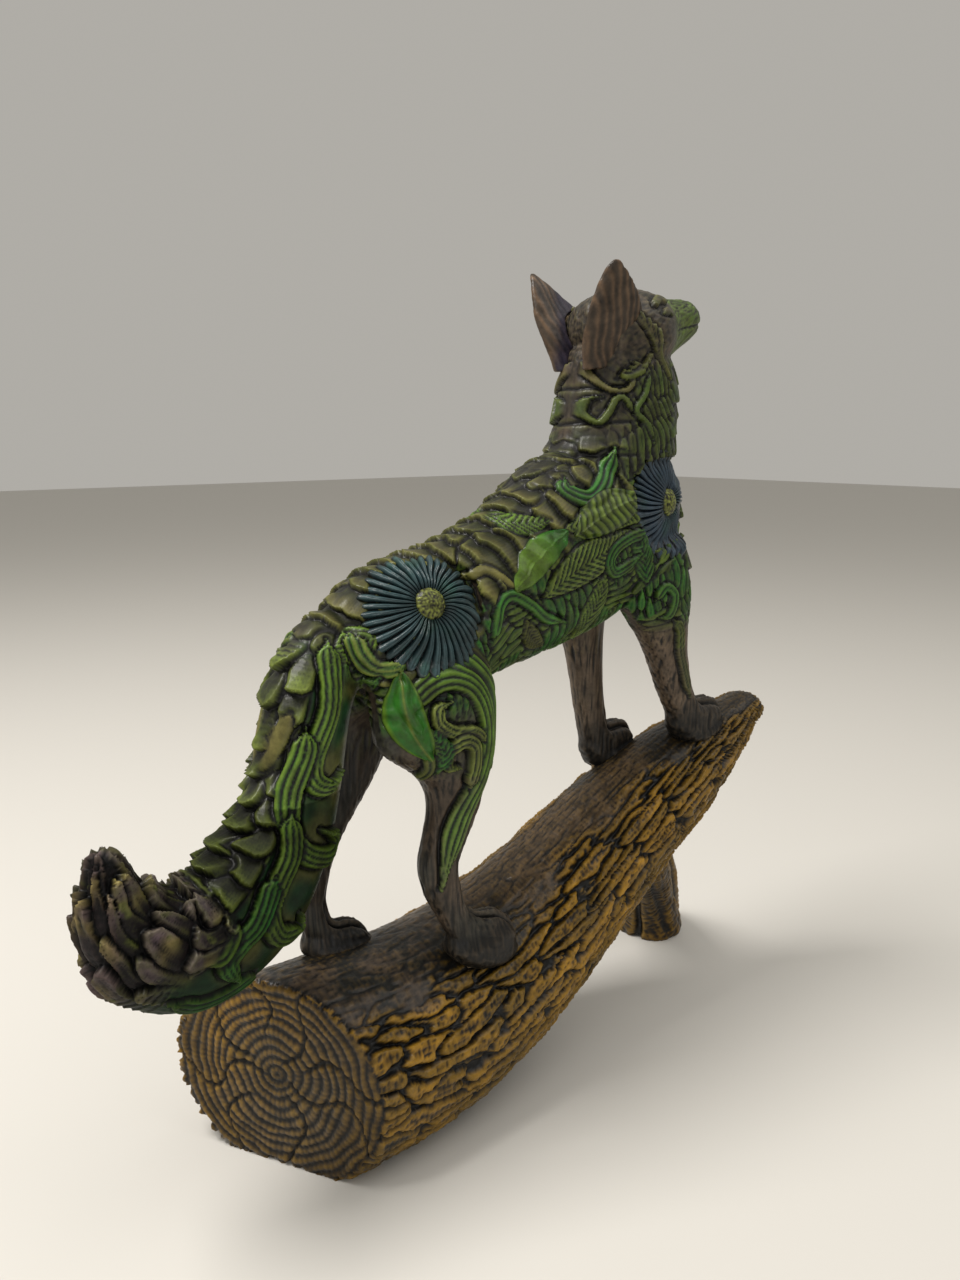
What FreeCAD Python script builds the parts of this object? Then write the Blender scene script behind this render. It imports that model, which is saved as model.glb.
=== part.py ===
"""Carved fox standing on a curved log: one hand-sized wooden figure, glued up from carved pieces on dowels.

Row frame: +X the way the fox looks, +Y its left side, +Z up, in millimetres. "Station" is the distance along X
from the sawn end of the log. The origin is under the middle of the figure, on the surface it stands on.
The body is carved as one smooth blank, parted at the neck, head and legs along flat glue faces; the tail and
the ears are coped to the blank, and every glue joint is pinned by a dowel.
"""

import FreeCAD, Part

import math
import os
import Sketcher

V = FreeCAD.Vector
doc = FreeCAD.newDocument("carved_fox")
sheet = doc.addObject("Spreadsheet::Sheet", "Dims")
next_row = 1


def cell(alias, value):
    """One driving dimension: a plain number in the sheet, with an alias."""
    global next_row
    sheet.set(f"A{next_row}", alias)
    sheet.set(f"B{next_row}", repr(float(value)))
    sheet.setAlias(f"B{next_row}", alias)
    next_row += 1


# ---------------------------------------------------------------- driving dimensions
SINGLE = {
    "origin_station": 62.35,
    "origin_side": 5.9,
    "end_cut_angle": 27.0,
    "end_cut_station": 0.0,
    "hind_joint_height": 93.0,
    "right_fore_joint_height": 112.0,
    "left_fore_joint_height": 108.0,
    "head_joint_height": 184.0,
    "neck_joint_tilt": 27.0,
    "neck_joint_station": 99.0,
    "neck_joint_height": 157.0,
    "flower_rim_radius": 15.0,
    "flower_dome_radius": 27.0,
    "flower_eye_radius": 3.6,
    "flower_thickness": 3.0,
    "leaf_thickness": 2.2,
    "big_dowel_radius": 2.5,
    "leg_dowel_radius": 2.0,
    "paw_dowel_radius": 1.5,
    "ear_dowel_radius": 1.0,
    "leg_block_clearance": 1.5,
    "block": 120.0,
}

# Sections of each lofted blank: station, side, height, tilt of the path above +X in degrees,
# half width across Y, half depth in the X-Z plane. The larger half is named once for each blank: "deep" or "wide".
BLANKS = {
    "trunk": ("wide", [
        (-18, 1.0, 21.6, 0, 25.2, 25.2),
        (5, 1.0, 21.6, 0, 25.1, 25.1),
        (42, 0.8, 22.3, 3, 24.3, 24.3),
        (75, 0.3, 34.0, 24, 21.0, 20.8),
        (102, -1.5, 51.5, 34, 17.8, 17.7),
        (126, -4.5, 67.5, 33, 15.5, 14.5),
        (145, -7.5, 79.0, 29, 11.0, 9.0),
        (161, -10, 87.5, 27, 5.5, 4.5),
    ]),
    "root": ("wide", [
        (122, 5, 54, -50, 12.1, 12.0),
        (138, 13, 36, -48, 11.0, 10.5),
        (151, 20, 18, -58, 10.5, 9.5),
        (157, 24, -1, -76, 12.0, 11.0),
    ]),
    "torso": ("deep", [
        (19.5, 0, 122, 30, 6.0, 6.5),
        (28, 0, 122.5, 12, 13.0, 15.4),
        (44, 0, 125, 10, 16.0, 17.5),
        (62, 0, 129.5, 17, 15.5, 18.5),
        (80, 0, 136, 25, 16.5, 22.0),
        (97, 0, 144, 35, 17.0, 24.0),
        (111, 0, 150, 36, 15.5, 20.5),
        (121, 0, 152.5, 30, 11.5, 15.0),
        (128, 0, 153.5, 25, 5.5, 8.0),
    ]),
    "neck": ("deep", [
        (103, 0, 143, 76, 14.0, 17.5),
        (105.5, 0, 157, 79, 15.5, 20.0),
        (107.5, 0, 170, 86, 14.5, 18.2),
        (108.5, 0, 182, 90, 14.0, 17.0),
        (107, 0, 192, 95, 11.5, 13.5),
    ]),
    "head": ("wide", [
        (96.5, 0, 190.5, 20, 6.0, 5.0),
        (100, 0, 193.0, 14, 11.5, 10.5),
        (108, 0, 195.0, 6, 14.0, 11.8),
        (116.5, 0, 196.0, 3, 12.5, 10.8),
        (124, 0, 197.5, 8, 8.4, 8.2),
        (130.5, 0, 199.5, 12, 6.7, 6.6),
        (135.5, 0, 201, 14, 5.3, 5.2),
        (138.5, 0, 202, 14, 2.9, 2.8),
    ]),
    "right_hind": ("deep", [
        (36, -5, 130, -80, 6.0, 12.0),
        (35, -9.5, 119, -80, 8.8, 15.8),
        (36, -12.5, 106, -76, 9.0, 16.0),
        (40, -13.5, 93, -92, 7.0, 10.0),
        (39, -14, 80, -110, 4.8, 6.2),
        (35.8, -14, 70, -90, 4.2, 5.2),
        (38.4, -14, 60.5, -58, 4.2, 4.6),
        (42.6, -14, 52.4, -38, 4.9, 5.6),
        (48.5, -13.8, 48.2, -14, 5.6, 7.1),
        (54.5, -13.6, 47.0, 2, 5.3, 7.0),
        (58.5, -13.5, 47.0, 6, 2.8, 4.2),
    ]),
    "left_hind": ("deep", [
        (34, 5, 130, -80, 6.0, 11.5),
        (31.5, 9.5, 119, -85, 8.8, 15.5),
        (29.5, 12, 106, -85, 8.6, 14.5),
        (28.5, 12, 92, -106, 6.4, 8.6),
        (21.8, 11.5, 79, -116, 4.8, 6.0),
        (16.4, 11, 67.5, -98, 4.2, 5.2),
        (15.8, 10.5, 58, -82, 4.0, 4.4),
        (17.0, 10, 50.5, -60, 4.5, 4.8),
        (20.5, 9.8, 47.2, -20, 5.3, 5.4),
        (26.0, 9.6, 46.6, 0, 5.0, 5.1),
        (29.8, 9.5, 46.6, 4, 2.5, 2.7),
    ]),
    "right_fore": ("deep", [
        (108, -5, 147, -72, 6.0, 9.0),
        (111.5, -9.5, 135, -72, 8.0, 13.5),
        (116, -11, 121, -72, 6.8, 10.0),
        (120.3, -11, 108, -72, 5.2, 6.6),
        (124, -11, 98, -66, 4.5, 5.4),
        (128.0, -10.8, 91, -45, 4.8, 5.0),
        (133.0, -10.6, 86.8, -8, 5.5, 6.6),
        (139.0, -10.4, 87.2, 14, 5.2, 6.3),
        (143.0, -10.3, 89.4, 20, 2.6, 2.8),
    ]),
    "left_fore": ("deep", [
        (103, 5, 145, -85, 6.0, 9.0),
        (104.5, 9, 133, -84, 7.8, 12.5),
        (106.5, 10, 118, -84, 6.2, 8.0),
        (108.3, 9.5, 104, -84, 4.8, 5.5),
        (109.6, 9, 92, -82, 4.3, 4.8),
        (111.3, 8.7, 83.5, -55, 4.5, 4.7),
        (115.0, 8.4, 78.4, -10, 5.2, 6.7),
        (121.0, 8.2, 79.0, 14, 5.0, 6.5),
        (125.0, 8.1, 80.8, 20, 2.6, 3.7),
    ]),
    "tail": ("deep", [
        (24.5, -0.5, 124.5, -158, 5.0, 6.4),
        (15.0, -1, 120.0, -135, 8.2, 9.6),
        (8.8, -2.5, 108.0, -112, 8.4, 9.6),
        (5, -3.5, 94, -108, 8.8, 10.0),
        (-2, -4.5, 80, -124, 10.2, 12.0),
        (-14, -5, 68.5, -150, 11.0, 13.5),
        (-26.5, -5, 66.8, -200, 10.2, 13.0),
        (-34.5, -5, 74.5, -240, 7.6, 9.0),
        (-38, -5, 84, -255, 3.6, 4.4),
        (-39, -5, 89.5, -255, 1.0, 1.4),
    ]),
    "right_ear": ("deep", [
        (98.8, -7.0, 186.5, 98, 4.2, 8.4),
        (97.6, -8.6, 194, 94, 3.6, 9.4),
        (96.6, -10.4, 200.5, 86, 2.9, 9.0),
        (95.2, -12.4, 205.5, 78, 2.1, 6.8),
        (93.0, -14.2, 209.0, 70, 1.3, 3.5),
        (91.6, -15.2, 210.6, 66, 0.6, 1.2),
    ]),
}

# A direction that no dowel runs along.
ACROSS = (1, 0.2, 0.1)
# Dowels: station, side, height of the middle, direction of the axis, radius alias, length.
DOWELS = {
    "right_hind_leg_dowel": (40.5, -13.5, 93, (0, 0, 1), "leg_dowel_radius", 16),
    "left_hind_leg_dowel": (28.5, 12, 93, (0.15, 0, 1), "leg_dowel_radius", 16),
    "right_fore_leg_dowel": (119.5, -11, 112, (-0.25, 0, 1), "leg_dowel_radius", 16),
    "left_fore_leg_dowel": (108, 9.8, 108, (-0.1, 0, 1), "leg_dowel_radius", 16),
    "right_hind_paw_dowel": (45.5, -13.8, 46.5, (0, 0, 1), "paw_dowel_radius", 11),
    "left_hind_paw_dowel": (17.0, 10, 46.5, (0, 0, 1), "paw_dowel_radius", 12),
    "right_fore_paw_dowel": (131, -10.6, 83, (0, 0, 1), "paw_dowel_radius", 12),
    "left_fore_paw_dowel": (113, 8.4, 75, (0, 0, 1), "paw_dowel_radius", 12),
    "neck_dowel_front": (112, 0, 150.4, (0.454, 0, 0.891), "big_dowel_radius", 22),
    "neck_dowel_back": (92, 0, 160.6, (0.454, 0, 0.891), "big_dowel_radius", 18),
    "head_dowel": (110.5, 0, 184, (0, 0, 1), "big_dowel_radius", 20),
    "tail_dowel": (19.5, -0.3, 123.2, (0.9, 0, 0.3), "leg_dowel_radius", 16),
    "root_dowel": (126, 7.1, 49.8, (-0.62, -0.3, 0.72), "big_dowel_radius", 26),
    "right_ear_dowel": (99, -9.6, 199.3, (0, -0.45, 0.89), "ear_dowel_radius", 5.6),
    "left_ear_dowel": (99, 9.6, 199.3, (0, 0.45, 0.89), "ear_dowel_radius", 5.6),
}

# Carved ornaments let into the body: station, side, height of the middle, outward direction, turn in degrees.
FLOWERS = {
    "right_hip_flower": (34.0, -15.2, 133.2, (-0.12, -0.90, 0.42)),
    "left_hip_flower": (42.0, 16.0, 126.0, (0.0, 0.98, 0.16)),
    "right_shoulder_flower": (114.2, -15.2, 151.6, (0.28, -0.95, 0.05)),
    "left_shoulder_flower": (113.2, 15.4, 151.5, (0.25, 0.96, 0.05)),
}
# Leaves: middle, outward direction, direction of the tip, length, width.
LEAVES = {
    "right_flank_leaf": ((67.0, -16.3, 140.0), (0.0, -0.97, 0.22), (0.80, 0.0, 0.60), 21, 8.5),
    "left_flank_leaf": ((67.0, 16.3, 140.0), (0.0, 0.97, 0.22), (0.80, 0.0, 0.60), 21, 8.5),
    "right_thigh_leaf": ((26.0, -20.6, 109.0), (-0.30, -0.95, 0.0), (0.30, 0.0, -0.95), 21, 9.0),
    "left_thigh_leaf": ((23.0, 20.0, 109.0), (-0.30, 0.95, 0.0), (0.30, 0.0, -0.95), 21, 9.0),
    "right_shoulder_leaf": ((89.0, -18.0, 149.5), (0.0, -1.0, 0.1), (0.93, 0.0, 0.36), 24, 10.5),
    "left_shoulder_leaf": ((89.0, 18.0, 149.5), (0.0, 1.0, 0.1), (0.93, 0.0, 0.36), 24, 10.5),
}


def mirrored(rows):
    """The same sections on the fox's other side."""
    return [(row[0], -row[1], *row[2:]) for row in rows]


BLANKS["left_ear"] = (BLANKS["right_ear"][0], mirrored(BLANKS["right_ear"][1]))
SECTION_FIELDS = ("station", "side", "height", "tilt", "half_width", "half_depth")

for alias, value in SINGLE.items():
    cell(alias, value)
for blank, (_, rows) in BLANKS.items():
    for i, row in enumerate(rows):
        for field, value in zip(SECTION_FIELDS, row):
            cell(f"{blank}_{i}_{field}", value)
for dowel, row in DOWELS.items():
    for field, value in zip(("station", "side", "height"), row[:3]):
        cell(f"{dowel}_{field}", value)
    cell(f"{dowel}_length", row[5])
for flower, row in FLOWERS.items():
    for field, value in zip(("station", "side", "height"), row[:3]):
        cell(f"{flower}_{field}", value)
for leaf, row in LEAVES.items():
    for field, value in zip(("station", "side", "height"), row[0]):
        cell(f"{leaf}_{field}", value)
    cell(f"{leaf}_long", row[3])
    cell(f"{leaf}_wide", row[4])
doc.recompute()


def dim(alias):
    return float(sheet.get(alias))


# ---------------------------------------------------------------- helpers
def place(obj, prefix, rotation=None):
    """Binds an object's place to the sheet: station, side and height, less the origin's."""
    if rotation is not None:
        obj.Placement.Rotation = rotation
    obj.setExpression("Placement.Base.x", f"Dims.{prefix}_station - Dims.origin_station")
    obj.setExpression("Placement.Base.y", f"Dims.{prefix}_side - Dims.origin_side")
    obj.setExpression("Placement.Base.z", f"Dims.{prefix}_height")


def middle_of(name):
    """An ornament's middle, less the origin's place."""
    return V(dim(name + "_station") - dim("origin_station"), dim(name + "_side") - dim("origin_side"),
             dim(name + "_height"))


def axes_rotation(x_axis, z_axis):
    """The rotation that takes local X near x_axis and local Z to z_axis."""
    z_axis = V(*z_axis).normalize()
    x_axis = V(*x_axis)
    x_axis = (x_axis - z_axis * x_axis.dot(z_axis)).normalize()
    return FreeCAD.Rotation(x_axis, z_axis.cross(x_axis), z_axis)


def loft(blank):
    """A smooth solid through elliptical sections, each square to the path."""
    larger, rows = BLANKS[blank]
    sections = []
    for i in range(len(rows)):
        prefix = f"{blank}_{i}"
        tilt = math.radians(dim(prefix + "_tilt"))
        ellipse = doc.addObject("Part::Ellipse", prefix + "_section")
        along = (math.cos(tilt), 0, math.sin(tilt))
        depth = (-math.sin(tilt), 0, math.cos(tilt))
        place(ellipse, prefix, axes_rotation(depth if larger == "deep" else (0, 1, 0), along))
        major, minor = ("half_depth", "half_width") if larger == "deep" else ("half_width", "half_depth")
        ellipse.setExpression("MajorRadius", f"Dims.{prefix}_{major}")
        ellipse.setExpression("MinorRadius", f"Dims.{prefix}_{minor}")
        sections.append(ellipse)
    body = doc.addObject("Part::Loft", blank + "_loft")
    body.Sections = sections
    body.Solid = True
    return body


def cut(name, base, *tools):
    """base less every tool."""
    for i, tool in enumerate(tools):
        step = doc.addObject("Part::Cut", f"{name}_cut_{i}")
        step.Base = base
        step.Tool = tool
        base = step
    return base


def common(name, base, tool):
    """What base and tool share."""
    both = doc.addObject("Part::Common", name)
    both.Base = base
    both.Tool = tool
    return both


def fuse(name, shapes):
    """All the shapes as one."""
    whole = doc.addObject("Part::MultiFuse", name)
    whole.Shapes = shapes
    return whole


def block(name, corner, size, rotation=None):
    """A large plain block that parts a blank. Corner is in station, side and height."""
    box = doc.addObject("Part::Box", name)
    box.Length, box.Width, box.Height = size
    shift = V(dim("origin_station"), dim("origin_side"), 0)
    box.Placement = FreeCAD.Placement(V(*corner) - shift, rotation or FreeCAD.Rotation())
    return box


def dowel_pin(name):
    """A round pin, centred on its own joint."""
    axis, radius = DOWELS[name][3:5]
    body = doc.addObject("PartDesign::Body", name + "_body")
    flat = next(f for f in body.Origin.OriginFeatures if f.Role == "XY_Plane")
    sketch = body.newObject("Sketcher::SketchObject", name + "_sketch")
    sketch.AttachmentSupport = [(flat, "")]
    sketch.MapMode = "FlatFace"
    sketch.addGeometry(Part.Circle(V(0, 0, 0), V(0, 0, 1), dim(radius)), False)
    sketch.addConstraint(Sketcher.Constraint("Coincident", 0, 3, -1, 1))
    sketch.addConstraint(Sketcher.Constraint("Radius", 0, dim(radius)))
    sketch.setExpression("Constraints[1]", f"Dims.{radius}")
    pad = body.newObject("PartDesign::Pad", name + "_pad")
    pad.Profile = sketch
    pad.Midplane = True
    pad.setExpression("Length", f"Dims.{name}_length")
    place(body, name, axes_rotation(ACROSS, axis))
    return body


def flower_eye(name):
    """The domed eye: a ball, sunk by half in the petals."""
    ball = doc.addObject("Part::Sphere", name + "_ball")
    ball.setExpression("Radius", "Dims.flower_eye_radius")
    place(ball, name, axes_rotation((0, 0, 1), FLOWERS[name][3]))
    return ball


def flower_rim(name):
    """The ring of petals: a shallow dome, gently hollowed between the petals at its rim."""
    out = FLOWERS[name][3]
    rotation = axes_rotation((0, 0, 1), out)
    dome = doc.addObject("Part::Sphere", name + "_dome")
    dome.setExpression("Radius", "Dims.flower_dome_radius")
    rim = doc.addObject("Part::Cylinder", name + "_rim")
    rim.setExpression("Radius", "Dims.flower_rim_radius")
    rim.setExpression("Height", "Dims.block")
    hollow = doc.addObject("Part::Sphere", name + "_hollow")
    hollow.setExpression("Radius", "Dims.flower_dome_radius - Dims.flower_thickness")
    # the domes share a centre, which lies below the flower's middle by the dome's radius
    drop = dim("flower_dome_radius") - dim("flower_thickness") / 2
    centre = middle_of(name) - V(*out).normalize() * drop
    for obj in (dome, hollow, rim):
        obj.Placement = FreeCAD.Placement(centre, rotation)
    shell = cut(name + "_shell", dome, hollow)
    return common(name + "_disc", shell, rim)


def leaf_blade(name):
    """A pointed leaf: where two round discs overlap."""
    (_, _, _), out, tip, long, wide = LEAVES[name]
    long, wide = dim(name + "_long"), dim(name + "_wide")
    radius = (long * long / 4 + wide * wide / 4) / wide
    offset = radius - wide / 2
    rotation = axes_rotation(tip, out)
    middle = middle_of(name)
    discs = []
    for side in (1, -1):
        disc = doc.addObject("Part::Cylinder", f"{name}_disc_{'left' if side > 0 else 'right'}")
        disc.Radius = radius
        disc.setExpression("Height", "Dims.leaf_thickness")
        local = V(0, side * offset, -dim("leaf_thickness") / 2)
        disc.Placement = FreeCAD.Placement(middle + rotation.multVec(local), rotation)
        discs.append(disc)
    return common(name + "_blade", *discs)


# ---------------------------------------------------------------- blanks
lofts = {blank: loft(blank) for blank in BLANKS}
doc.recompute()

size = dim("block")
ground = block("ground", (-size, -size, -size), (3 * size, 2 * size, size))
end_cut = block(
    "end_cut",
    (dim("end_cut_station"), 0, -size / 2),
    (size, size, size),
    FreeCAD.Rotation(V(0, 0, 1), 180 + dim("end_cut_angle")),
)
# the block is turned about its corner, so it is slid back to cover the whole end
turn = math.radians(dim("end_cut_angle"))
end_cut.Placement.Base += V(-math.sin(turn), math.cos(turn), 0) * (size / 2)

trunk = cut("trunk", lofts["trunk"], ground, end_cut)
root = cut("root", lofts["root"], ground, trunk)

LEG_NAMES = ("right_hind", "left_hind", "right_fore", "left_fore")
body_blank = fuse("body_blank", [lofts[name] for name in ("torso", "neck", "head") + LEG_NAMES])

# ---------------------------------------------------------------- where the blank is parted
# Each leg is parted off below its joint, between two stations and clear of the middle of the body.
LEG_PARTINGS = {
    "right_hind": ("hind_joint_height", 0, 88),
    "left_hind": ("hind_joint_height", -5, 83),
    "right_fore": ("right_fore_joint_height", 106, 166),
    "left_fore": ("left_fore_joint_height", 98, 138),
}
leg_blocks = {}
for leg, (joint, rear, front) in LEG_PARTINGS.items():
    clear = dim("leg_block_clearance")
    side = -size if leg.startswith("right") else clear
    leg_blocks[leg] = block(leg + "_block", (rear, side, 0), (front - rear, size - clear, dim(joint)))
head_block = block(
    "head_block",
    (dim("neck_joint_station") - size / 2, -size / 2, dim("head_joint_height")),
    (size, size, size),
)
neck_tilt = FreeCAD.Rotation(V(0, 1, 0), dim("neck_joint_tilt"))
neck_block = block("neck_block", (0, 0, 0), (2 * size, size, size), neck_tilt)
neck_middle = V(dim("neck_joint_station") - dim("origin_station"), 0, dim("neck_joint_height"))
neck_block.Placement.Base = neck_middle - neck_tilt.multVec(V(size, size / 2, 0))
doc.recompute()

pieces = {}
pieces["log_trunk"] = (trunk, [])
pieces["log_root_foot"] = (root, [])
for leg in LEG_NAMES:
    shape = common(leg + "_leg_blank", body_blank, leg_blocks[leg])
    pieces[leg + "_leg"] = (cut(leg + "_leg", shape, trunk), [])
head = common("head_blank", body_blank, head_block)
neck = cut("neck_piece", common("neck_blank", body_blank, neck_block), head_block)
torso = cut("torso_piece", body_blank, neck_block, *leg_blocks.values())
pieces["head"] = (head, [])
pieces["neck"] = (neck, [])
pieces["torso"] = (torso, [])
pieces["tail"] = (cut("tail_piece", lofts["tail"], body_blank), [])
for side in ("right", "left"):
    pieces[side + "_ear"] = (cut(side + "_ear_piece", lofts[side + "_ear"], body_blank), [])

# ---------------------------------------------------------------- ornaments let into their seats
SEATS = {
    "right_hip_flower": ("torso",), "left_hip_flower": ("torso",),
    "right_shoulder_flower": ("torso", "neck", "right_fore_leg"),
    "left_shoulder_flower": ("torso", "neck", "left_fore_leg"),
    "right_flank_leaf": ("torso",), "left_flank_leaf": ("torso",),
    "right_thigh_leaf": ("torso",), "left_thigh_leaf": ("torso",),
    "right_shoulder_leaf": ("torso", "neck"), "left_shoulder_leaf": ("torso", "neck"),
}
for name in FLOWERS:
    eye = flower_eye(name)
    rim = cut(name + "_petals", flower_rim(name), eye)
    for seat in SEATS[name]:
        pieces[seat][1].extend([rim, eye])
    pieces[name + "_petals"] = (rim, [])
    pieces[name + "_eye"] = (eye, [])
for name in LEAVES:
    blade = leaf_blade(name)
    for seat in SEATS[name]:
        pieces[seat][1].append(blade)
    pieces[name] = (blade, [])

# ---------------------------------------------------------------- dowels and their bores
BORED = {
    "right_hind_leg_dowel": ("torso", "right_hind_leg"),
    "left_hind_leg_dowel": ("torso", "left_hind_leg"),
    "right_fore_leg_dowel": ("torso", "right_fore_leg"),
    "left_fore_leg_dowel": ("torso", "left_fore_leg"),
    "right_hind_paw_dowel": ("right_hind_leg", "log_trunk"),
    "left_hind_paw_dowel": ("left_hind_leg", "log_trunk"),
    "right_fore_paw_dowel": ("right_fore_leg", "log_trunk"),
    "left_fore_paw_dowel": ("left_fore_leg", "log_trunk"),
    "neck_dowel_front": ("torso", "neck"),
    "neck_dowel_back": ("torso", "neck"),
    "head_dowel": ("neck", "head"),
    "tail_dowel": ("torso", "tail"),
    "root_dowel": ("log_trunk", "log_root_foot"),
    "right_ear_dowel": ("head", "right_ear"),
    "left_ear_dowel": ("head", "left_ear"),
}
for name in DOWELS:
    pin = dowel_pin(name)
    for bored in BORED[name]:
        pieces[bored][1].append(pin)
    pieces[name] = (pin, [])

for name, (shape, tools) in pieces.items():
    final = cut(name + "_seated", shape, *tools) if tools else shape
    final.Label = name
    pieces[name] = final
doc.recompute()

# ---------------------------------------------------------------- check and write
bad = [o.Name for o in doc.Objects if "Invalid" in o.State or "Error" in o.State]
if bad:
    raise SystemExit(f"these objects failed: {bad}")
os.makedirs("parts", exist_ok=True)
for name, piece in pieces.items():
    shape = piece.Shape
    solids = shape.Solids
    if shape.isNull() or not shape.isValid() or not solids:
        raise SystemExit(f"{name} has no valid solid")
    if len(solids) > 1:
        print("note:", name, "has", len(solids), "solids", [round(s.Volume, 2) for s in solids])
    shape.exportStep(f"parts/{name}.step")
everything = FreeCAD.BoundBox()
for piece in pieces.values():
    everything.add(piece.Shape.BoundBox)
print(len(pieces), "pieces;", everything)
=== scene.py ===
"""Looks for the carved fox on its log: relief-carved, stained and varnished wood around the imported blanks."""
import math

import bmesh
import bpy
import numpy as np
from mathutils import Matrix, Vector
from mathutils.bvhtree import BVHTree


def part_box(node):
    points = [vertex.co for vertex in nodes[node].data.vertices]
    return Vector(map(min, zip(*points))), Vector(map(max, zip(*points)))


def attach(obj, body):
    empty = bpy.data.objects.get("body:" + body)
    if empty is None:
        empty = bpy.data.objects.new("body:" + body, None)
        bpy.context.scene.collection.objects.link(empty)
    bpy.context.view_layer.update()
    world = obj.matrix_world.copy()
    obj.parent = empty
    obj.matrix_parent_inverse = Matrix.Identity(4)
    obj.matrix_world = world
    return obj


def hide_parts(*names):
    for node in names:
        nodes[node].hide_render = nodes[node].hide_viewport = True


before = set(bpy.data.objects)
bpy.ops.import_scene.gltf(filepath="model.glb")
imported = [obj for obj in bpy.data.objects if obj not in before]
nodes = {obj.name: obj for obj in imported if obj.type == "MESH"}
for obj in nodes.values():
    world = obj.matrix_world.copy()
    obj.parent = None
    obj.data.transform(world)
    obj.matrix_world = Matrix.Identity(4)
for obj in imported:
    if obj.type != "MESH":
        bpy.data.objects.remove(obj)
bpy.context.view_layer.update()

MM = 0.001
graph = bpy.context.evaluated_depsgraph_get
scene = bpy.context.scene
Y_MIDDLE = -5.9                # the fox's middle plane
RIGHT, LEFT = -1, 1            # which way a side faces along Y
SIDES = (RIGHT, LEFT)

# ---------------------------------------------------------------- camera and light
EYE = Vector((-162.3, -197.05, 170.0)) * MM
LOOK_PLAN, LOOK_DOWN = math.radians(50.0), math.radians(11.6)
LENS_MM = 28.5

camera_data = bpy.data.cameras.new("camera")
camera_data.lens = LENS_MM
camera_data.sensor_width = 36.0
camera_data.clip_start = 0.01
camera = bpy.data.objects.new("camera", camera_data)
camera.location = EYE
look = Vector((math.cos(LOOK_PLAN), math.sin(LOOK_PLAN), -math.tan(LOOK_DOWN)))
camera.rotation_euler = look.to_track_quat("-Z", "Y").to_euler()
scene.collection.objects.link(camera)
scene.camera = camera


def area_light(name, place, target, size, watts, colour):
    """A soft rectangular light, aimed at a point on the figure."""
    data = bpy.data.lights.new(name, "AREA")
    data.size = size
    data.energy = watts
    data.color = colour
    light = bpy.data.objects.new(name, data)
    light.location = Vector(place) * MM
    light.rotation_euler = (Vector(target) * MM - light.location).to_track_quat("-Z", "Y").to_euler()
    scene.collection.objects.link(light)


area_light("window", (-380, 160, 780), (0, 0, 90), 0.34, 7.2, (1.0, 0.97, 0.93))
area_light("ceiling", (250, -300, 820), (0, 0, 90), 0.70, 2.4, (1.0, 0.98, 0.95))
area_light("fill", (-450, -700, 250), (0, 0, 100), 0.50, 0.8, (0.95, 0.98, 1.0))
world = bpy.data.worlds.new("world")
world.use_nodes = True
world.node_tree.nodes["Background"].inputs["Color"].default_value = (0.80, 0.77, 0.71, 1)
world.node_tree.nodes["Background"].inputs["Strength"].default_value = 0.54
scene.world = world
scene.view_settings.view_transform = "Standard"


# ---------------------------------------------------------------- smooth noise
class Noise:
    """Seeded gradient noise over arrays of points."""

    def __init__(self, seed):
        rng = np.random.default_rng(seed)
        self.table = rng.permutation(256)
        grads = rng.normal(size=(256, 3))
        self.grads = grads / np.linalg.norm(grads, axis=1, keepdims=True)

    def __call__(self, points):
        cell = np.floor(points).astype(int)
        part = points - cell
        fade = part * part * part * (part * (part * 6 - 15) + 10)
        total = np.zeros(len(points))
        for corner in range(8):
            step = np.array([corner & 1, corner >> 1 & 1, corner >> 2 & 1])
            key = (cell + step) & 255
            index = self.table[(self.table[(self.table[key[:, 0]] + key[:, 1]) & 255] + key[:, 2]) & 255]
            weight = np.prod(np.where(step, fade, 1 - fade), axis=1)
            total += weight * np.sum(self.grads[index] * (part - step), axis=1)
        return total * 1.5


noise_a, noise_b, noise_c = Noise(11), Noise(23), Noise(47)


def ramp(low, high, x):
    """0 before low, 1 past high, and an even rise between; low may be the larger."""
    part = np.clip((x - low) / (high - low), 0, 1)
    return part * part * (3 - 2 * part)


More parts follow.
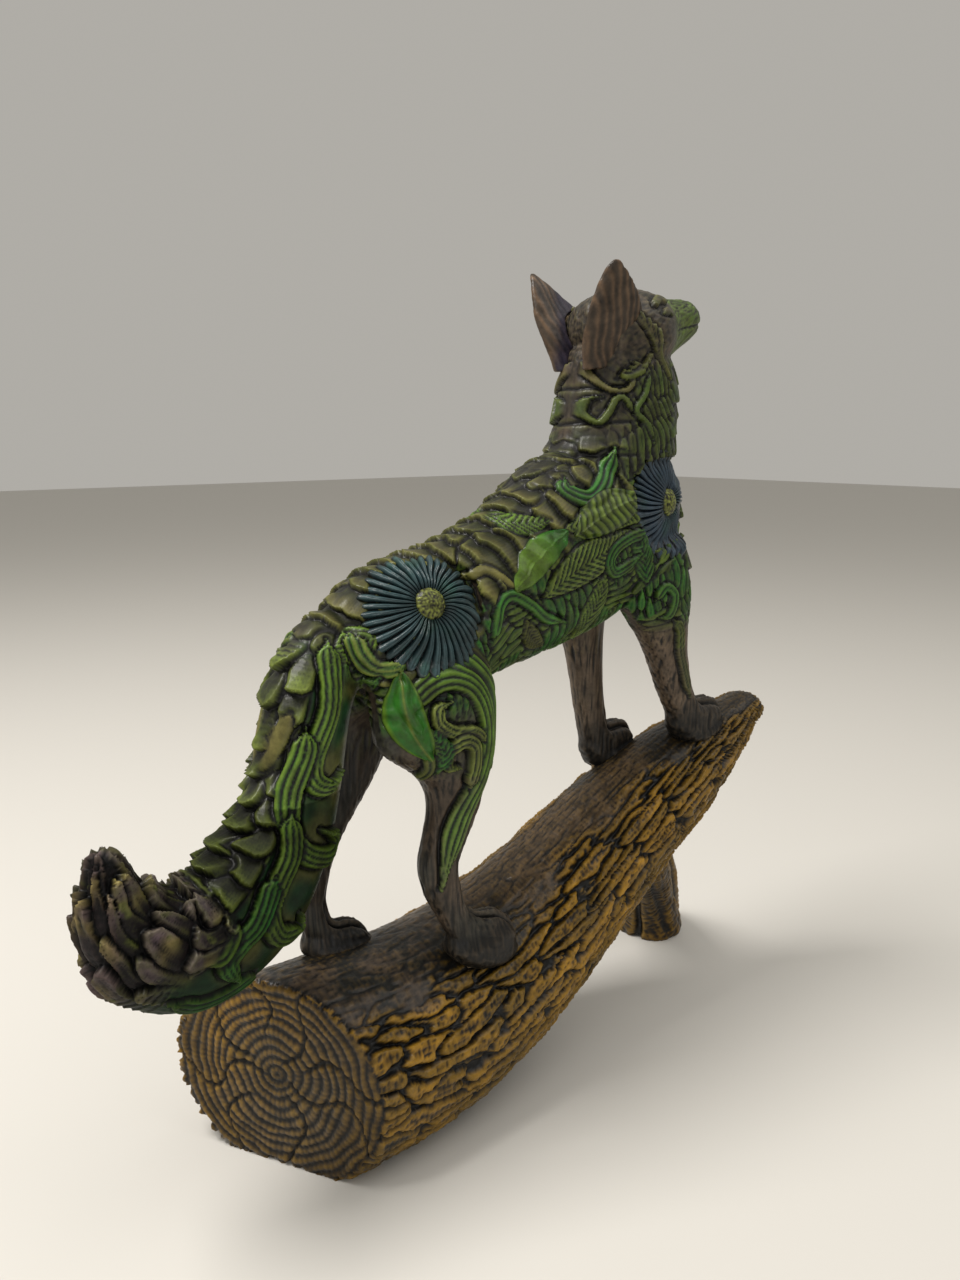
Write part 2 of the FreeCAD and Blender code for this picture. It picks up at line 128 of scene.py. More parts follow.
# ---------------------------------------------------------------- meshes as arrays
class Skin:
    """A closed surface of four-cornered faces, as arrays in millimetres."""

    def __init__(self, mesh):
        count = len(mesh.vertices)
        self.at = np.empty(count * 3)
        mesh.vertices.foreach_get("co", self.at)
        self.at = self.at.reshape(-1, 3) / MM
        loops = np.empty(len(mesh.loops), dtype=int)
        mesh.loops.foreach_get("vertex_index", loops)
        self.faces = loops.reshape(-1, 4)
        edges = np.empty(len(mesh.edges) * 2, dtype=int)
        mesh.edges.foreach_get("vertices", edges)
        self.edges = edges.reshape(-1, 2)
        self.degree = np.bincount(self.edges.ravel(), minlength=count)[:, None]

    def mean_of_neighbours(self, values):
        """Each vertex's neighbours, averaged."""
        total = np.zeros_like(values)
        a, b = self.edges[:, 0], self.edges[:, 1]
        for column in range(values.shape[1]):
            total[:, column] += np.bincount(a, values[b, column], len(values))
            total[:, column] += np.bincount(b, values[a, column], len(values))
        return total / self.degree

    def blur(self, values, rounds):
        values = values.reshape(len(values), -1).copy()
        for _ in range(rounds):
            values = 0.5 * values + 0.5 * self.mean_of_neighbours(values)
        return values

    def smooth(self, rounds, gain=0.6, back=-0.62):
        """Taubin smoothing: rounds off creases and keeps the volume."""
        for _ in range(rounds):
            self.at += gain * (self.mean_of_neighbours(self.at) - self.at)
            self.at += back * (self.mean_of_neighbours(self.at) - self.at)

    def normals(self):
        p = self.at[self.faces]
        face = np.cross(p[:, 2] - p[:, 0], p[:, 3] - p[:, 1])
        total = np.zeros_like(self.at)
        for column in range(3):
            for corner in range(4):
                total[:, column] += np.bincount(self.faces[:, corner], face[:, column], len(self.at))
        return total / np.maximum(np.linalg.norm(total, axis=1, keepdims=True), 1e-12)


def mesh_from(name, at, faces, attributes=None):
    """A Blender mesh from arrays in millimetres, all faces smooth."""
    mesh = bpy.data.meshes.new(name)
    mesh.vertices.add(len(at))
    mesh.vertices.foreach_set("co", (at * MM).ravel())
    corners = faces.shape[1]
    mesh.loops.add(faces.size)
    mesh.loops.foreach_set("vertex_index", faces.ravel())
    mesh.polygons.add(len(faces))
    mesh.polygons.foreach_set("loop_start", np.arange(len(faces)) * corners)
    mesh.polygons.foreach_set("use_smooth", np.ones(len(faces), dtype=bool))
    mesh.update(calc_edges=True)
    for key, values in (attributes or {}).items():
        kind = "FLOAT_COLOR" if values.ndim == 2 else "FLOAT"
        layer = mesh.attributes.new(key, kind, "POINT")
        if values.ndim == 2:
            rgba = np.concatenate([values, np.ones((len(values), 1))], axis=1)
            layer.data.foreach_set("color", rgba.ravel())
        else:
            layer.data.foreach_set("value", values)
    return mesh


def remeshed(mesh, voxel_mm):
    """An even skin of small squares around everything in the mesh."""
    carrier = bpy.data.objects.new("carrier", mesh)
    scene.collection.objects.link(carrier)
    remesh = carrier.modifiers.new("remesh", "REMESH")
    remesh.mode = "VOXEL"
    remesh.voxel_size = voxel_mm * MM
    new_mesh = bpy.data.meshes.new_from_object(carrier.evaluated_get(graph()))
    bpy.data.objects.remove(carrier)
    return new_mesh


def joined(names):
    """The CAD meshes of the named nodes, in one mesh."""
    bm = bmesh.new()
    for name in names:
        bm.from_mesh(nodes[name].data)
    mesh = bpy.data.meshes.new("joined")
    bm.to_mesh(mesh)
    bm.free()
    return mesh


def largest_shell(skin):
    """Which vertices lie on the skin's outer shell, the one with the most of them."""
    label = np.arange(len(skin.at))
    while True:
        lowest = label.copy()
        np.minimum.at(lowest, skin.edges[:, 0], label[skin.edges[:, 1]])
        np.minimum.at(lowest, skin.edges[:, 1], label[skin.edges[:, 0]])
        lowest = lowest[lowest]
        if np.array_equal(lowest, label):
            break
        label = lowest
    names, counts = np.unique(label, return_counts=True)
    return label == names[np.argmax(counts)]


# ---------------------------------------------------------------- lines and strokes
def spline(points, step=0.4):
    """A smooth line through given points, sampled about every step millimetres."""
    p = np.array(points, dtype=float)
    p = np.vstack([2 * p[0] - p[1], p, 2 * p[-1] - p[-2]])
    out = []
    for i in range(1, len(p) - 2):
        count = max(2, int(np.linalg.norm(p[i + 1] - p[i]) / step))
        t = np.linspace(0, 1, count, endpoint=False)[:, None]
        a, b, c, d = p[i - 1], p[i], p[i + 1], p[i + 2]
        square, cube = 2 * a - 5 * b + 4 * c - d, 3 * b - a - 3 * c + d
        out.append(0.5 * (2 * b + (c - a) * t + square * t**2 + cube * t**3))
    out.append(p[-2][None, :])
    return np.vstack(out)


def nearest(points, line):
    """For each point: the index of the line's nearest sample, and the distance."""
    index = np.empty(len(points), dtype=int)
    gap = np.empty(len(points))
    batch = 20000
    for start in range(0, len(points), batch):
        here = slice(start, start + batch)
        part = points[here]
        d2 = np.sum(part**2, 1)[:, None] - 2 * part @ line.T + np.sum(line**2, 1)[None, :]
        index[here] = np.argmin(d2, axis=1)
        gap[here] = np.sqrt(np.maximum(np.min(d2, axis=1), 0))
    return index, gap


def along(points, path):
    """Distance along a path, angle about it (0 to the right, a quarter turn to the top), and radius."""
    line = spline(path, 1.0)
    index, _ = nearest(points, line)
    tangent = np.gradient(line, axis=0)
    tangent /= np.linalg.norm(tangent, axis=1, keepdims=True)
    length = np.concatenate([[0], np.cumsum(np.linalg.norm(np.diff(line, axis=0), axis=1))])
    off = points - line[index]
    t = tangent[index]
    s = length[index] + np.sum(off * t, axis=1)
    off = off - t * np.sum(off * t, axis=1)[:, None]
    side = np.array([0.0, -1.0, 0.0])
    upper = np.cross(side, t)
    upper /= np.linalg.norm(upper, axis=1, keepdims=True)
    return s, np.arctan2(np.sum(off * upper, axis=1), off @ side), np.linalg.norm(off, axis=1)


# Stains, as light as they are on the wood
BLACK = np.array([0.006, 0.006, 0.005])
BROWN = np.array([0.070, 0.050, 0.034])
GREY = np.array([0.042, 0.040, 0.031])
OLIVE = np.array([0.070, 0.074, 0.018])
DARK_OLIVE = np.array([0.026, 0.030, 0.010])
TAN = np.array([0.21, 0.165, 0.055])
LIME = np.array([0.085, 0.175, 0.014])
GREEN = np.array([0.012, 0.110, 0.012])
DEEP_GREEN = np.array([0.008, 0.040, 0.012])
BLUE = np.array([0.008, 0.046, 0.056])
DEEP_BLUE = np.array([0.010, 0.026, 0.052])
PURPLE = np.array([0.048, 0.034, 0.038])
AMBER = np.array([0.36, 0.185, 0.018])
OCHRE = np.array([0.120, 0.066, 0.012])


def mix(a, b, part):
    part = np.asarray(part)[..., None]
    return a * (1 - part) + b * part


def stack(*columns):
    """Columns side by side, as one array of points."""
    return np.column_stack(columns)


class Carving:
    """Relief on a skin: a height above the blank and a stain, each stroke laid over the last."""

    def __init__(self, skin):
        self.skin = skin
        self.at = skin.at
        self.normal = skin.normals()
        self.height = np.zeros(len(skin.at))
        self.stain = np.tile(BROWN, (len(skin.at), 1))

    def lay(self, who, cover, height, stain):
        """Blends a height and a stain into the chosen vertices, by cover from 0 to 1."""
        self.height[who] += (height - self.height[who]) * cover
        self.stain[who] = mix(self.stain[who], stain, cover)

    def tint(self, stain, amount):
        """Stains the whole skin, each vertex by its own amount."""
        self.stain[:] = mix(self.stain, stain, amount)

    def facing(self, side):
        """How squarely each vertex faces one side."""
        return ramp(0.05, 0.35, self.normal[:, 1] * side) * ((self.at[:, 1] - Y_MIDDLE) * side > -2)

    def ribbon(self, side, points, half, height, dark, light, ridges=0, leaf=False, veins=0.0, shift=0.0):
        """A raised band or leaf along a line drawn in side view (station, height), tapered at both ends."""
        line = spline([(x + shift, z) for x, z in points])
        low, high = line.min(axis=0) - half * 1.6, line.max(axis=0) + half * 1.6
        x, z = self.at[:, 0], self.at[:, 2]
        facing = self.facing(side)
        inside = (x > low[0]) & (x < high[0]) & (z > low[1]) & (z < high[1]) & (facing > 0)
        who = np.where(inside)[0]
        if not len(who):
            return
        points_2d = self.at[who][:, [0, 2]]
        index, gap = nearest(points_2d, line)
        tangent = np.gradient(line, axis=0)[index]
        off = points_2d - line[index]
        sign = np.where(tangent[:, 0] * off[:, 1] - tangent[:, 1] * off[:, 0] > 0, 1.0, -1.0)
        part = index / (len(line) - 1)
        shape = np.sin(np.pi * np.clip(part, 0, 1)) ** 0.75 if leaf else ramp(0, 0.10, part) * (
            1 - 0.85 * ramp(0.8, 1.0, part))
        width = half * np.maximum(shape, 0.06)
        across = sign * gap / width
        edge = np.abs(across)
        mask = (1 - ramp(0.86, 1.0, edge)) * facing[who]
        ditch = (1 - ramp(1.0, 1.0 + 0.9 / width, edge)) * (edge > 0.9) * facing[who]
        self.height[who] -= 0.45 * height * ditch
        self.stain[who] = mix(self.stain[who], BLACK, 0.75 * ditch)
        if leaf:
            crown = 0.55 + 0.45 * (1 - edge**2) - 0.45 * np.exp(-(gap / 0.45) ** 2)
            crown = crown + 0.35 * np.exp(-(gap / 0.22) ** 2)
            tone = 0.25 + 0.6 * ramp(0.6, 0.95, edge) + 0.6 * np.exp(-(gap / 0.3) ** 2)
            if veins:
                run = part * len(line) * 0.4 - 1.3 * gap
                rib = np.abs(np.cos(np.pi * run / veins))
                crown = crown * (0.35 + 0.65 * rib**0.6)
                tone = np.maximum(tone * 0.7, rib**3)
        else:
            crown = np.sqrt(np.maximum(1 - 0.7 * edge**2, 0))
            tone = 0.4 * crown
            if ridges:
                rib = np.abs(np.sin(np.pi * ridges * (across + 1) / 2))
                crown = crown * (0.62 + 0.38 * rib)
                tone = 0.15 + 0.85 * rib**2
        self.lay(who, mask, height * crown, mix(dark, light, np.clip(tone, 0, 1)))

    def shingles(self, who, s, w, long, wide, height, dark, light, jitter=0.5, seed=0, cover=1.0):
        """Overlapping plates, free edge towards growing s, each with fine lines along it."""
        rng = np.random.default_rng(seed)
        wobble = 0.6 * noise_a(stack(s / 9, w / 7, np.full(len(s), 3.1 + seed)))
        column = np.floor(w / wide + wobble)
        phase = rng.random(997)[(column.astype(int) * 7) % 997]
        drift = noise_b(stack(s / 5, w / 3, np.full(len(s), 7.7)))
        run = s / long + phase + jitter * 0.25 * drift
        row = np.floor(run)
        part = run - row
        offset = w / wide + wobble - column - 0.5
        tip = 0.78 + 0.2 * np.cos(np.pi * offset)
        over = ramp(tip, tip + 0.05, part)
        gutter = ramp(0.36, 0.5, np.abs(offset))
        lines = 0.08 * np.abs(np.sin(w * 2 * np.pi))
        rise = height * (0.15 + 0.85 * part / tip)
        plate = rise * (1 - 0.75 * gutter) * (1 - over) - lines * (1 - over)
        shade = rng.random(991)[(column * 31 + row * 17).astype(int) % 991]
        tone = ramp(0.25, 0.95, part / tip) * (0.35 + 0.65 * shade)
        colour = mix(dark, light, np.clip(tone, 0, 1))
        colour = mix(colour, BLACK, np.clip(over + 0.5 * gutter, 0, 1))
        self.lay(who, cover, plate, colour)

    def tufts(self, cover, lean, long, wide, height, dark, light, seed):
        """Small pointed strands lying side by side, leaning one way in side view."""
        who = np.where(cover > 0)[0]
        p = self.at[who]
        px = p[:, 0] + 4.5 * noise_a(p / 15 + seed)
        pz = p[:, 2] + 4.5 * noise_b(p / 15 + seed)
        run = (px * math.cos(lean) + pz * math.sin(lean)) / long
        across = (pz * math.cos(lean) - px * math.sin(lean)) / wide
        rng = np.random.default_rng(seed)
        lane = np.floor(across).astype(int)
        run += rng.random(499)[lane * 13 % 499]
        place = np.floor(run).astype(int)
        part, off = run - place, 2 * (across - lane) - 1
        shape = np.sin(np.pi * np.clip(part, 0, 1)) ** 0.6 * (1 - 0.6 * part)
        crown = np.sqrt(np.maximum(1 - (off / np.maximum(shape * 1.5, 0.05)) ** 2, 0))
        rib = 0.25 * np.exp(-(off / 0.22) ** 2)
        shade = rng.random(997)[(lane * 31 + place * 17) % 997]
        tone = np.clip((0.15 + 0.85 * shade) * crown**1.5 + rib, 0, 1)
        self.lay(who, cover[who], height * (crown - 0.25 - rib), mix(dark, light, tone))

    def grain(self, who, across, amount=0.12, pitch=0.9):
        """Fine wood or fur lines: a height that changes across and hardly along."""
        self.height[who] += amount * (noise_c(across / pitch) + 0.6 * noise_a(across / (pitch * 0.45)))

    def finish(self):
        """Moves the skin by the relief, and works out where dark wash collects and where colour rubs off."""
        self.skin.at = self.at + self.normal * self.height[:, None]
        around = self.skin.blur(self.height, 14)[:, 0]
        near = self.skin.blur(self.height, 3)[:, 0]
        broad = np.clip((around - self.height) / 0.34, 0, 1)
        narrow = np.clip((near - self.height) / 0.10, 0, 1)
        rubbed = np.clip((self.height - around) / 0.35, 0, 1)
        return np.clip(1.35 * (broad * 0.75 + narrow * 0.6), 0, 1), rubbed


# ---------------------------------------------------------------- the fox's body
BODY_NODES = ["torso", "neck", "head", "tail",
              "right_hind_leg", "left_hind_leg", "right_fore_leg", "left_fore_leg"]
INNER_PINS = ["neck_dowel_front", "neck_dowel_back", "head_dowel", "tail_dowel", "right_hind_leg_dowel",
              "left_hind_leg_dowel", "right_fore_leg_dowel", "left_fore_leg_dowel"]


def shell(names, coarse, fine, rounds, final_rounds=4):
    """A closed smooth skin around some CAD nodes, fine enough to carve."""
    mesh = remeshed(joined(names), coarse)
    skin = Skin(mesh)
    skin.smooth(rounds)
    smooth = mesh_from("smooth", skin.at, skin.faces)
    skin = Skin(remeshed(smooth, fine))
    keep = largest_shell(skin)
    if not keep.all():
        number = np.cumsum(keep) - 1
        faces = number[skin.faces[keep[skin.faces[:, 0]]]]
        skin = Skin(mesh_from("outer", skin.at[keep], faces))
    skin.smooth(final_rounds)
    return skin


def add_piece(name, mesh, material, node):
    """Puts a finished mesh in the scene, riding on the figure, in place of its CAD node."""
    piece = bpy.data.objects.new(name, mesh)
    scene.collection.objects.link(piece)
    mesh.materials.append(material)
    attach(piece, "root")
    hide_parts(node)


def carved_piece(name, skin, which, stain, hollow, rubbed, normal, material, node):
    """Cuts some faces out of a carved skin, keeping the whole skin's normals at the cut."""
    faces = skin.faces[which]
    used = np.unique(faces)
    number = np.full(len(skin.at), -1)
    number[used] = np.arange(len(used))
    attributes = {"stain": stain[used], "hollow": hollow[used], "rubbed": rubbed[used]}
    mesh = mesh_from(name, skin.at[used], number[faces], attributes)
    mesh.normals_split_custom_set_from_vertices(normal[used])
    add_piece(name, mesh, material, node)


# ---------------------------------------------------------------- materials
def nodes_of(name):
    material = bpy.data.materials.new(name)
    material.use_nodes = True
    tree = material.node_tree
    return material, tree, tree.nodes["Principled BSDF"]


def new(tree, kind, **settings):
    node = tree.nodes.new(kind)
    for key, value in settings.items():
        if key in node.inputs:
            node.inputs[key].default_value = value
        else:
            setattr(node, key, value)
    return node


def varnished(name, grain_scale, roughness, bump, gloss):
    """Wood with fine grain in its surface and a thin varnish, its colour still to come."""
    material, tree, shader = nodes_of(name)
    link = tree.links.new
    place = new(tree, "ShaderNodeTexCoord")
    fine = new(tree, "ShaderNodeTexNoise", Scale=grain_scale, Detail=6.0, Roughness=0.65)
    link(place.outputs["Object"], fine.inputs["Vector"])
    rough = new(tree, "ShaderNodeMapRange")
    rough.inputs["To Min"].default_value = roughness - 0.10
    rough.inputs["To Max"].default_value = roughness + 0.14
    link(fine.outputs["Fac"], rough.inputs["Value"])
    link(rough.outputs["Result"], shader.inputs["Roughness"])
    relief = new(tree, "ShaderNodeBump", Strength=bump, Distance=0.0004)
    link(fine.outputs["Fac"], relief.inputs["Height"])
    link(relief.outputs["Normal"], shader.inputs["Normal"])
    shader.inputs["Specular IOR Level"].default_value = 0.22
    shader.inputs["Coat Weight"].default_value = gloss
    shader.inputs["Coat Roughness"].default_value = 0.14
    return material, tree, shader, place, fine


def wood(name, grain_scale, roughness, bump=0.25, rub=(0.26, 0.30, 0.05), rub_amount=0.36, gloss=0.10):
    """Stained, varnished wood: the stain, the dark wash and the rubbed edges are read from the carving."""
    material, tree, shader, place, fine = varnished(name, grain_scale, roughness, bump, gloss)
    link = tree.links.new

    def carved(attribute):
        return new(tree, "ShaderNodeAttribute", attribute_name=attribute).outputs

    def times(a, b):
        product = new(tree, "ShaderNodeMath", operation="MULTIPLY")
        link(a, product.inputs[0])
        if isinstance(b, float):
            product.inputs[1].default_value = b
        else:
            link(b, product.inputs[1])
        return product.outputs[0]

    def blend(factor, below, over):
        """Lays a fixed colour over another, as much as the factor says."""
        layer = new(tree, "ShaderNodeMix", data_type="RGBA")
        layer.inputs["B"].default_value = (*over, 1)
        link(factor, layer.inputs["Factor"])
        link(below, layer.inputs["A"])
        return layer.outputs["Result"]

    cloud = new(tree, "ShaderNodeTexNoise", Scale=260.0, Detail=4.0, Roughness=0.6)
    link(place.outputs["Object"], cloud.inputs["Vector"])
    shade = new(tree, "ShaderNodeMapRange")
    for limit, value in (("From Min", 0.3), ("From Max", 0.7), ("To Min", 0.34), ("To Max", 1.30)):
        shade.inputs[limit].default_value = value
    link(cloud.outputs["Fac"], shade.inputs["Value"])
    varied = new(tree, "ShaderNodeVectorMath", operation="SCALE")
    link(carved("stain")["Color"], varied.inputs[0])
    link(shade.outputs["Result"], varied.inputs["Scale"])
    rubbed = times(times(carved("rubbed")["Fac"], rub_amount), fine.outputs["Fac"])
    worn = blend(rubbed, varied.outputs[0], rub)
    link(blend(carved("hollow")["Fac"], worn, (0.006, 0.006, 0.006)), shader.inputs["Base Color"])
    return material


body = shell(BODY_NODES + INNER_PINS, 0.9, 0.42, 22)
carving = Carving(body)
x, y, z = body.at.T
nx, ny, nz = carving.normal.T

# wood showing through: brown below and on the legs, greyer on the back, greener on the flanks
cloudy = noise_b(body.at / 9.0)
carving.stain[:] = mix(BROWN, GREY, ramp(-0.3, 0.5, cloudy + 0.5 * nz))
flank = ramp(118, 128, z + 4 * cloudy) * (1 - ramp(176, 184, z))
carving.tint(DEEP_GREEN * 1.2, 0.75 * flank * ramp(0.1, 0.5, np.abs(ny)))
upright = stack(x, y, z / 14)
sloping = stack((x * 0.80 + z * 0.60) / 9, y, (z * 0.80 - x * 0.60))
legs = ramp(104, 96, z) + ramp(124, 112, z) * (x > 32)
legs = np.clip(legs, 0, 1)
carving.grain(slice(None), sloping, 0.16, 1.3)
carving.height *= 1 - legs
lines = noise_c(upright) + 0.7 * noise_a(upright / 0.5)
carving.height += 0.20 * lines * legs
fore = legs * (x > 30)
carving.tint(np.array([0.135, 0.095, 0.062]), 0.75 * fore)
carving.tint(BLACK, 0.55 * legs * (x < -22) * (y > Y_MIDDLE))
dark_lines = ramp(0.30, 0.75, noise_a(stack(x / 1.5, y / 1.5, z / 26)))
leg_wash = np.clip(0.6 * ramp(0.1, 0.6, -lines) + 0.8 * dark_lines, 0, 1)
carving.tint(BLACK, leg_wash * legs)
carving.height -= 0.35 * dark_lines * legs

# small strands that fill the flanks, the shoulders and the neck's sides
sides = ramp(0.12, 0.4, np.abs(ny)) * (x > -50) * (1 - legs)
low_side = ramp(108, 116, z - 0.12 * x) * (1 - ramp(180, 184, z))
carving.tufts(sides * low_side, 0.45, 9.0, 2.6, 1.0, DEEP_GREEN * 0.8, mix(LIME, OLIVE, 0.4), 4)
patch = ramp(0.0, 0.15, noise_c(body.at / 11))
carving.tufts(sides * low_side * patch, 1.9, 8.0, 2.3, 1.1, DEEP_GREEN * 0.7, GREEN * 1.2, 8)
neck_side = ramp(156, 160, z) * (1 - ramp(186, 190, z)) * ramp(-0.9, -0.5, nx)
carving.tufts(neck_side * (1 - ramp(0.2, 0.7, nx)), -1.2, 8.0, 2.4, 1.0, DARK_OLIVE * 0.7,
              mix(OLIVE, GREEN, 0.35), 12)

# plates along the back, up the nape and down the throat, and smooth brown wood above the nape's plates
spine = -(0.82 * x + 0.57 * z)
back = (x < 44) & (z > 116) & (z < 172)
cover = ramp(0.02, 0.30, nz + 0.35 * (x < -30)) * back * (1 - ramp(162, 168, z))
cover *= ramp(-58, -50, x)
cover *= ramp(0.0, 0.25, nz - nx * 0.9 * (x < -30))
who = np.where(cover > 0)[0]
carving.shingles(who, spine[who], y[who] + 3, 5.4, 9.0, 1.7, DARK_OLIVE * 0.7, mix(OLIVE, TAN, 0.40),
                 1.0, 3, cover[who])
nape = ramp(-0.2, -0.6, nx) * ramp(152, 158, z) * (1 - ramp(166, 170, z))
who = np.where(nape > 0)[0]
carving.shingles(who, 400 - z[who], y[who] + 2, 4.6, 7.5, 1.3, BLACK * 2, mix(OLIVE, BROWN, 0.4),
                 0.8, 15, nape[who])
nape_top = ramp(165, 171, z) * (1 - ramp(188, 192, z)) * ramp(41, 34, x - 0.15 * (z - 170))
carving.height *= 1 - 0.8 * nape_top
carving.height += 0.12 * noise_c(stack(x / 1.6, y / 0.9, z / 5.0)) * nape_top
brown_nape = mix(BLACK * 3, BROWN * 0.85, 0.6 + 0.4 * noise_a(body.at / 4))
carving.tint(brown_nape, 0.92 * nape_top)
throat = ramp(0.25, 0.6, nx) * ramp(126, 132, z) * (1 - ramp(188, 191, z)) * (x > 38)
who = np.where(throat > 0)[0]
carving.shingles(who, 400 - z[who], y[who] + 2, 9.0, 6.5, 1.3, GREY * 0.7, mix(OLIVE, GREEN, 0.3),
                 0.4, 9, throat[who])

# turned lines around the back of the neck
for level, deep in ((181.0, 0.7), (172.3, 0.7), (164.0, 0.6)):
    sloped = level + 0.06 * (x - 30) + 0.5 * noise_a(body.at / 6)
    line = np.exp(-((z - sloped) / 0.5) ** 2) * ramp(42, 36, x) * (z > 150)
    carving.height -= deep * line
    carving.tint(BLACK, 0.7 * line)

# each side's strokes, drawn in side view; the left hind leg stands further back
for side, thigh in ((RIGHT, 0.0), (LEFT, -8.5)):
    def band(points, half, height, dark, light, ridges=4, shift=0.0):
        carving.ribbon(side, points, half, height, dark, light, ridges, shift=shift)

    def leaf(points, half, height, dark, light, veins=0.0, shift=0.0):
        carving.ribbon(side, points, half, height, dark, light, 0, True, veins, shift)

    # ferns and tendrils on the shoulder and the flank
    leaf([(5, 131), (16, 136.9), (25, 140.9), (34, 145.5)], 5.2, 1.3, DEEP_GREEN, mix(LIME, TAN, 0.3), 1.9)
    leaf([(13.5, 146.5), (23.6, 148.6), (31, 150.2), (42, 149.2)],
         4.6, 1.3, DEEP_GREEN, mix(LIME, TAN, 0.3), 1.9)
    leaf([(21, 118), (23.5, 125.3), (25.3, 134.5)], 4.2, 1.2, DEEP_GREEN, mix(LIME, TAN, 0.2), 1.7)
    leaf([(42, 131), (40, 139), (34, 144)], 4.0, 1.2, DEEP_GREEN, GREEN, 1.8)
    band([(-15.7, 136.7), (-11.3, 138.3), (-7.4, 136.6), (-3.5, 133.0)], 1.1, 1.1, OLIVE, TAN, 0)
    band([(-11.5, 122), (-10.4, 126.0), (-9.0, 130.3), (-5.4, 132.2), (0.3, 129.7), (6.3, 125.7),
          (14, 123.8)], 1.5, 1.3, DEEP_GREEN, GREEN * 1.3, 2)
    band([(40, 144.5), (34, 143.5), (28.5, 141.1), (26.4, 137.8), (28.8, 135.0), (34.2, 136.6),
          (38.8, 139.3)], 1.7, 1.3, DEEP_GREEN, GREEN, 3)
    band([(18, 158.5), (17.0, 155.6), (21.9, 153.6), (26.8, 156.4), (30.7, 161.0), (33.1, 166.0)],
         2.2, 1.4, DEEP_GREEN, GREEN * 1.2, 3)
    leaf([(-1, 126), (3, 121), (9, 118)], 2.6, 1.0, DARK_OLIVE, OLIVE, 1.4)
    leaf([(-4, 152), (2, 148), (10, 148.5)], 2.6, 1.1, DARK_OLIVE, LIME, 1.5)
    leaf([(-40, 128), (-45, 125), (-51, 119)], 3.0, 1.0, DARK_OLIVE, LIME, 1.5)
    # scrolls on the thigh and down the shin
    band([(-33, 119.5), (-29.1, 121.2), (-22, 120), (-15.5, 114), (-12.5, 106), (-13.5, 97), (-17, 90)],
         2.4, 1.3, DEEP_GREEN, LIME, 3, thigh)
    band([(-37.5, 108), (-36, 112.0), (-31.8, 115.6), (-26.2, 116.4), (-20.6, 113.5), (-17.2, 107),
          (-16.6, 100), (-18.6, 93), (-22.5, 86), (-25.2, 79), (-27.5, 72), (-28.5, 66)],
         2.9, 1.6, DEEP_GREEN, LIME, 4, thigh)
    band([(-18.5, 100.5), (-22, 103.5), (-27.5, 104.6), (-31.0, 107.0), (-30.8, 110.2), (-27.5, 111.3)],
         1.7, 1.8, DEEP_GREEN, mix(LIME, TAN, 0.5), 3, thigh)
    band([(-22.6, 90), (-21.4, 96), (-22.0, 100.5), (-25.5, 102.2), (-28.8, 100.2), (-28.6, 96.8),
          (-25.6, 96.0)], 1.8, 1.9, DEEP_GREEN, mix(LIME, TAN, 0.5), 3, thigh)
    band([(-37.2, 117.5), (-38.0, 112.0), (-35.2, 105.0)], 1.3, 1.5, OLIVE, TAN, 2, thigh)
    band([(-45.4, 127), (-44.8, 123.2), (-42.0, 119.8), (-36.5, 119.6)],
         1.9, 1.4, GREEN, mix(LIME, TAN, 0.4), 3, thigh)
    band([(-48.8, 121.5), (-47.6, 117.2), (-44.4, 115.2), (-41.4, 118.0)],
         1.7, 1.2, DEEP_GREEN, GREEN, 4, thigh)
    leaf([(-32, 94), (-30, 100), (-33, 106)], 2.4, 1.1, DEEP_GREEN, GREEN, 1.6, thigh)
    band([(-33.5, 92), (-32.5, 96.5), (-34.0, 101)], 1.3, 1.2, DEEP_GREEN, OLIVE, 2, thigh)
    # the neck's curls
    band([(29.9, 188.9), (30.6, 184.0), (33.2, 180.6), (36.8, 180.4), (38.4, 183.0), (36.6, 185.0),
          (34.8, 183.2)], 0.75, 1.1, BROWN, mix(BROWN, TAN, 0.45), 0)
    band([(38.2, 174.4), (36.6, 178.0), (34.6, 178.4), (32.8, 175.0), (30.6, 172.4), (28.6, 174.6),
          (29.6, 178.0), (32.0, 178.8)], 0.8, 1.1, DARK_OLIVE, mix(OLIVE, GREEN, 0.5), 0)
    band([(43.2, 184.5), (41.6, 179.5), (39.0, 175.2), (42.5, 171.8), (44.4, 167.0)],
         0.8, 1.1, DARK_OLIVE, GREEN, 0)
    # rings down the foreleg
    band([(44.5, 126), (47.5, 129.5), (51.0, 127.0), (50.0, 122.0), (46.8, 121.0)],
         1.4, 1.2, DEEP_GREEN, GREEN, 2)
    band([(52, 120), (55, 117), (56.5, 111), (60, 103), (63, 96)], 1.6, 1.1, DEEP_GREEN, OLIVE, 3)

# the head: cheek strands, brow, eye and muzzle fur
for side in SIDES:
    for k in range(6):
        start = (37.5 + 1.6 * k, 202.5 - 1.2 * k)
        bend = (42.5 + 1.3 * k, 196.0 - 1.7 * k)
        end = (48.5 + 0.7 * k, 192.5 - 1.9 * k)
        carving.ribbon(side, [start, bend, end], 0.8, 1.0, OLIVE, mix(OLIVE, TAN, 0.5))
    for k in range(4):
        carving.ribbon(side, [(45 - k, 190 - 1.5 * k), (42 - 1.5 * k, 186.6 - k), (38.5 - k, 187.5 - k)],
                       0.8, 0.9, OLIVE, mix(OLIVE, LIME, 0.5))
    carving.ribbon(side, [(46, 201.6), (50, 203.6), (54, 203.2)], 0.9, 1.0, DARK_OLIVE, OLIVE)
    carving.ribbon(side, [(48.2, 199.6), (51, 200.6), (54, 199.8)], 1.0, 0.7, BLACK, BLACK * 2, leaf=True)
muzzle = ramp(54, 60, x) * (z > 190)
strands = noise_c(stack((x + z * 0.8) / 8, y / 0.7, (z - x * 0.5) / 0.8))
carving.height += 0.16 * strands * muzzle
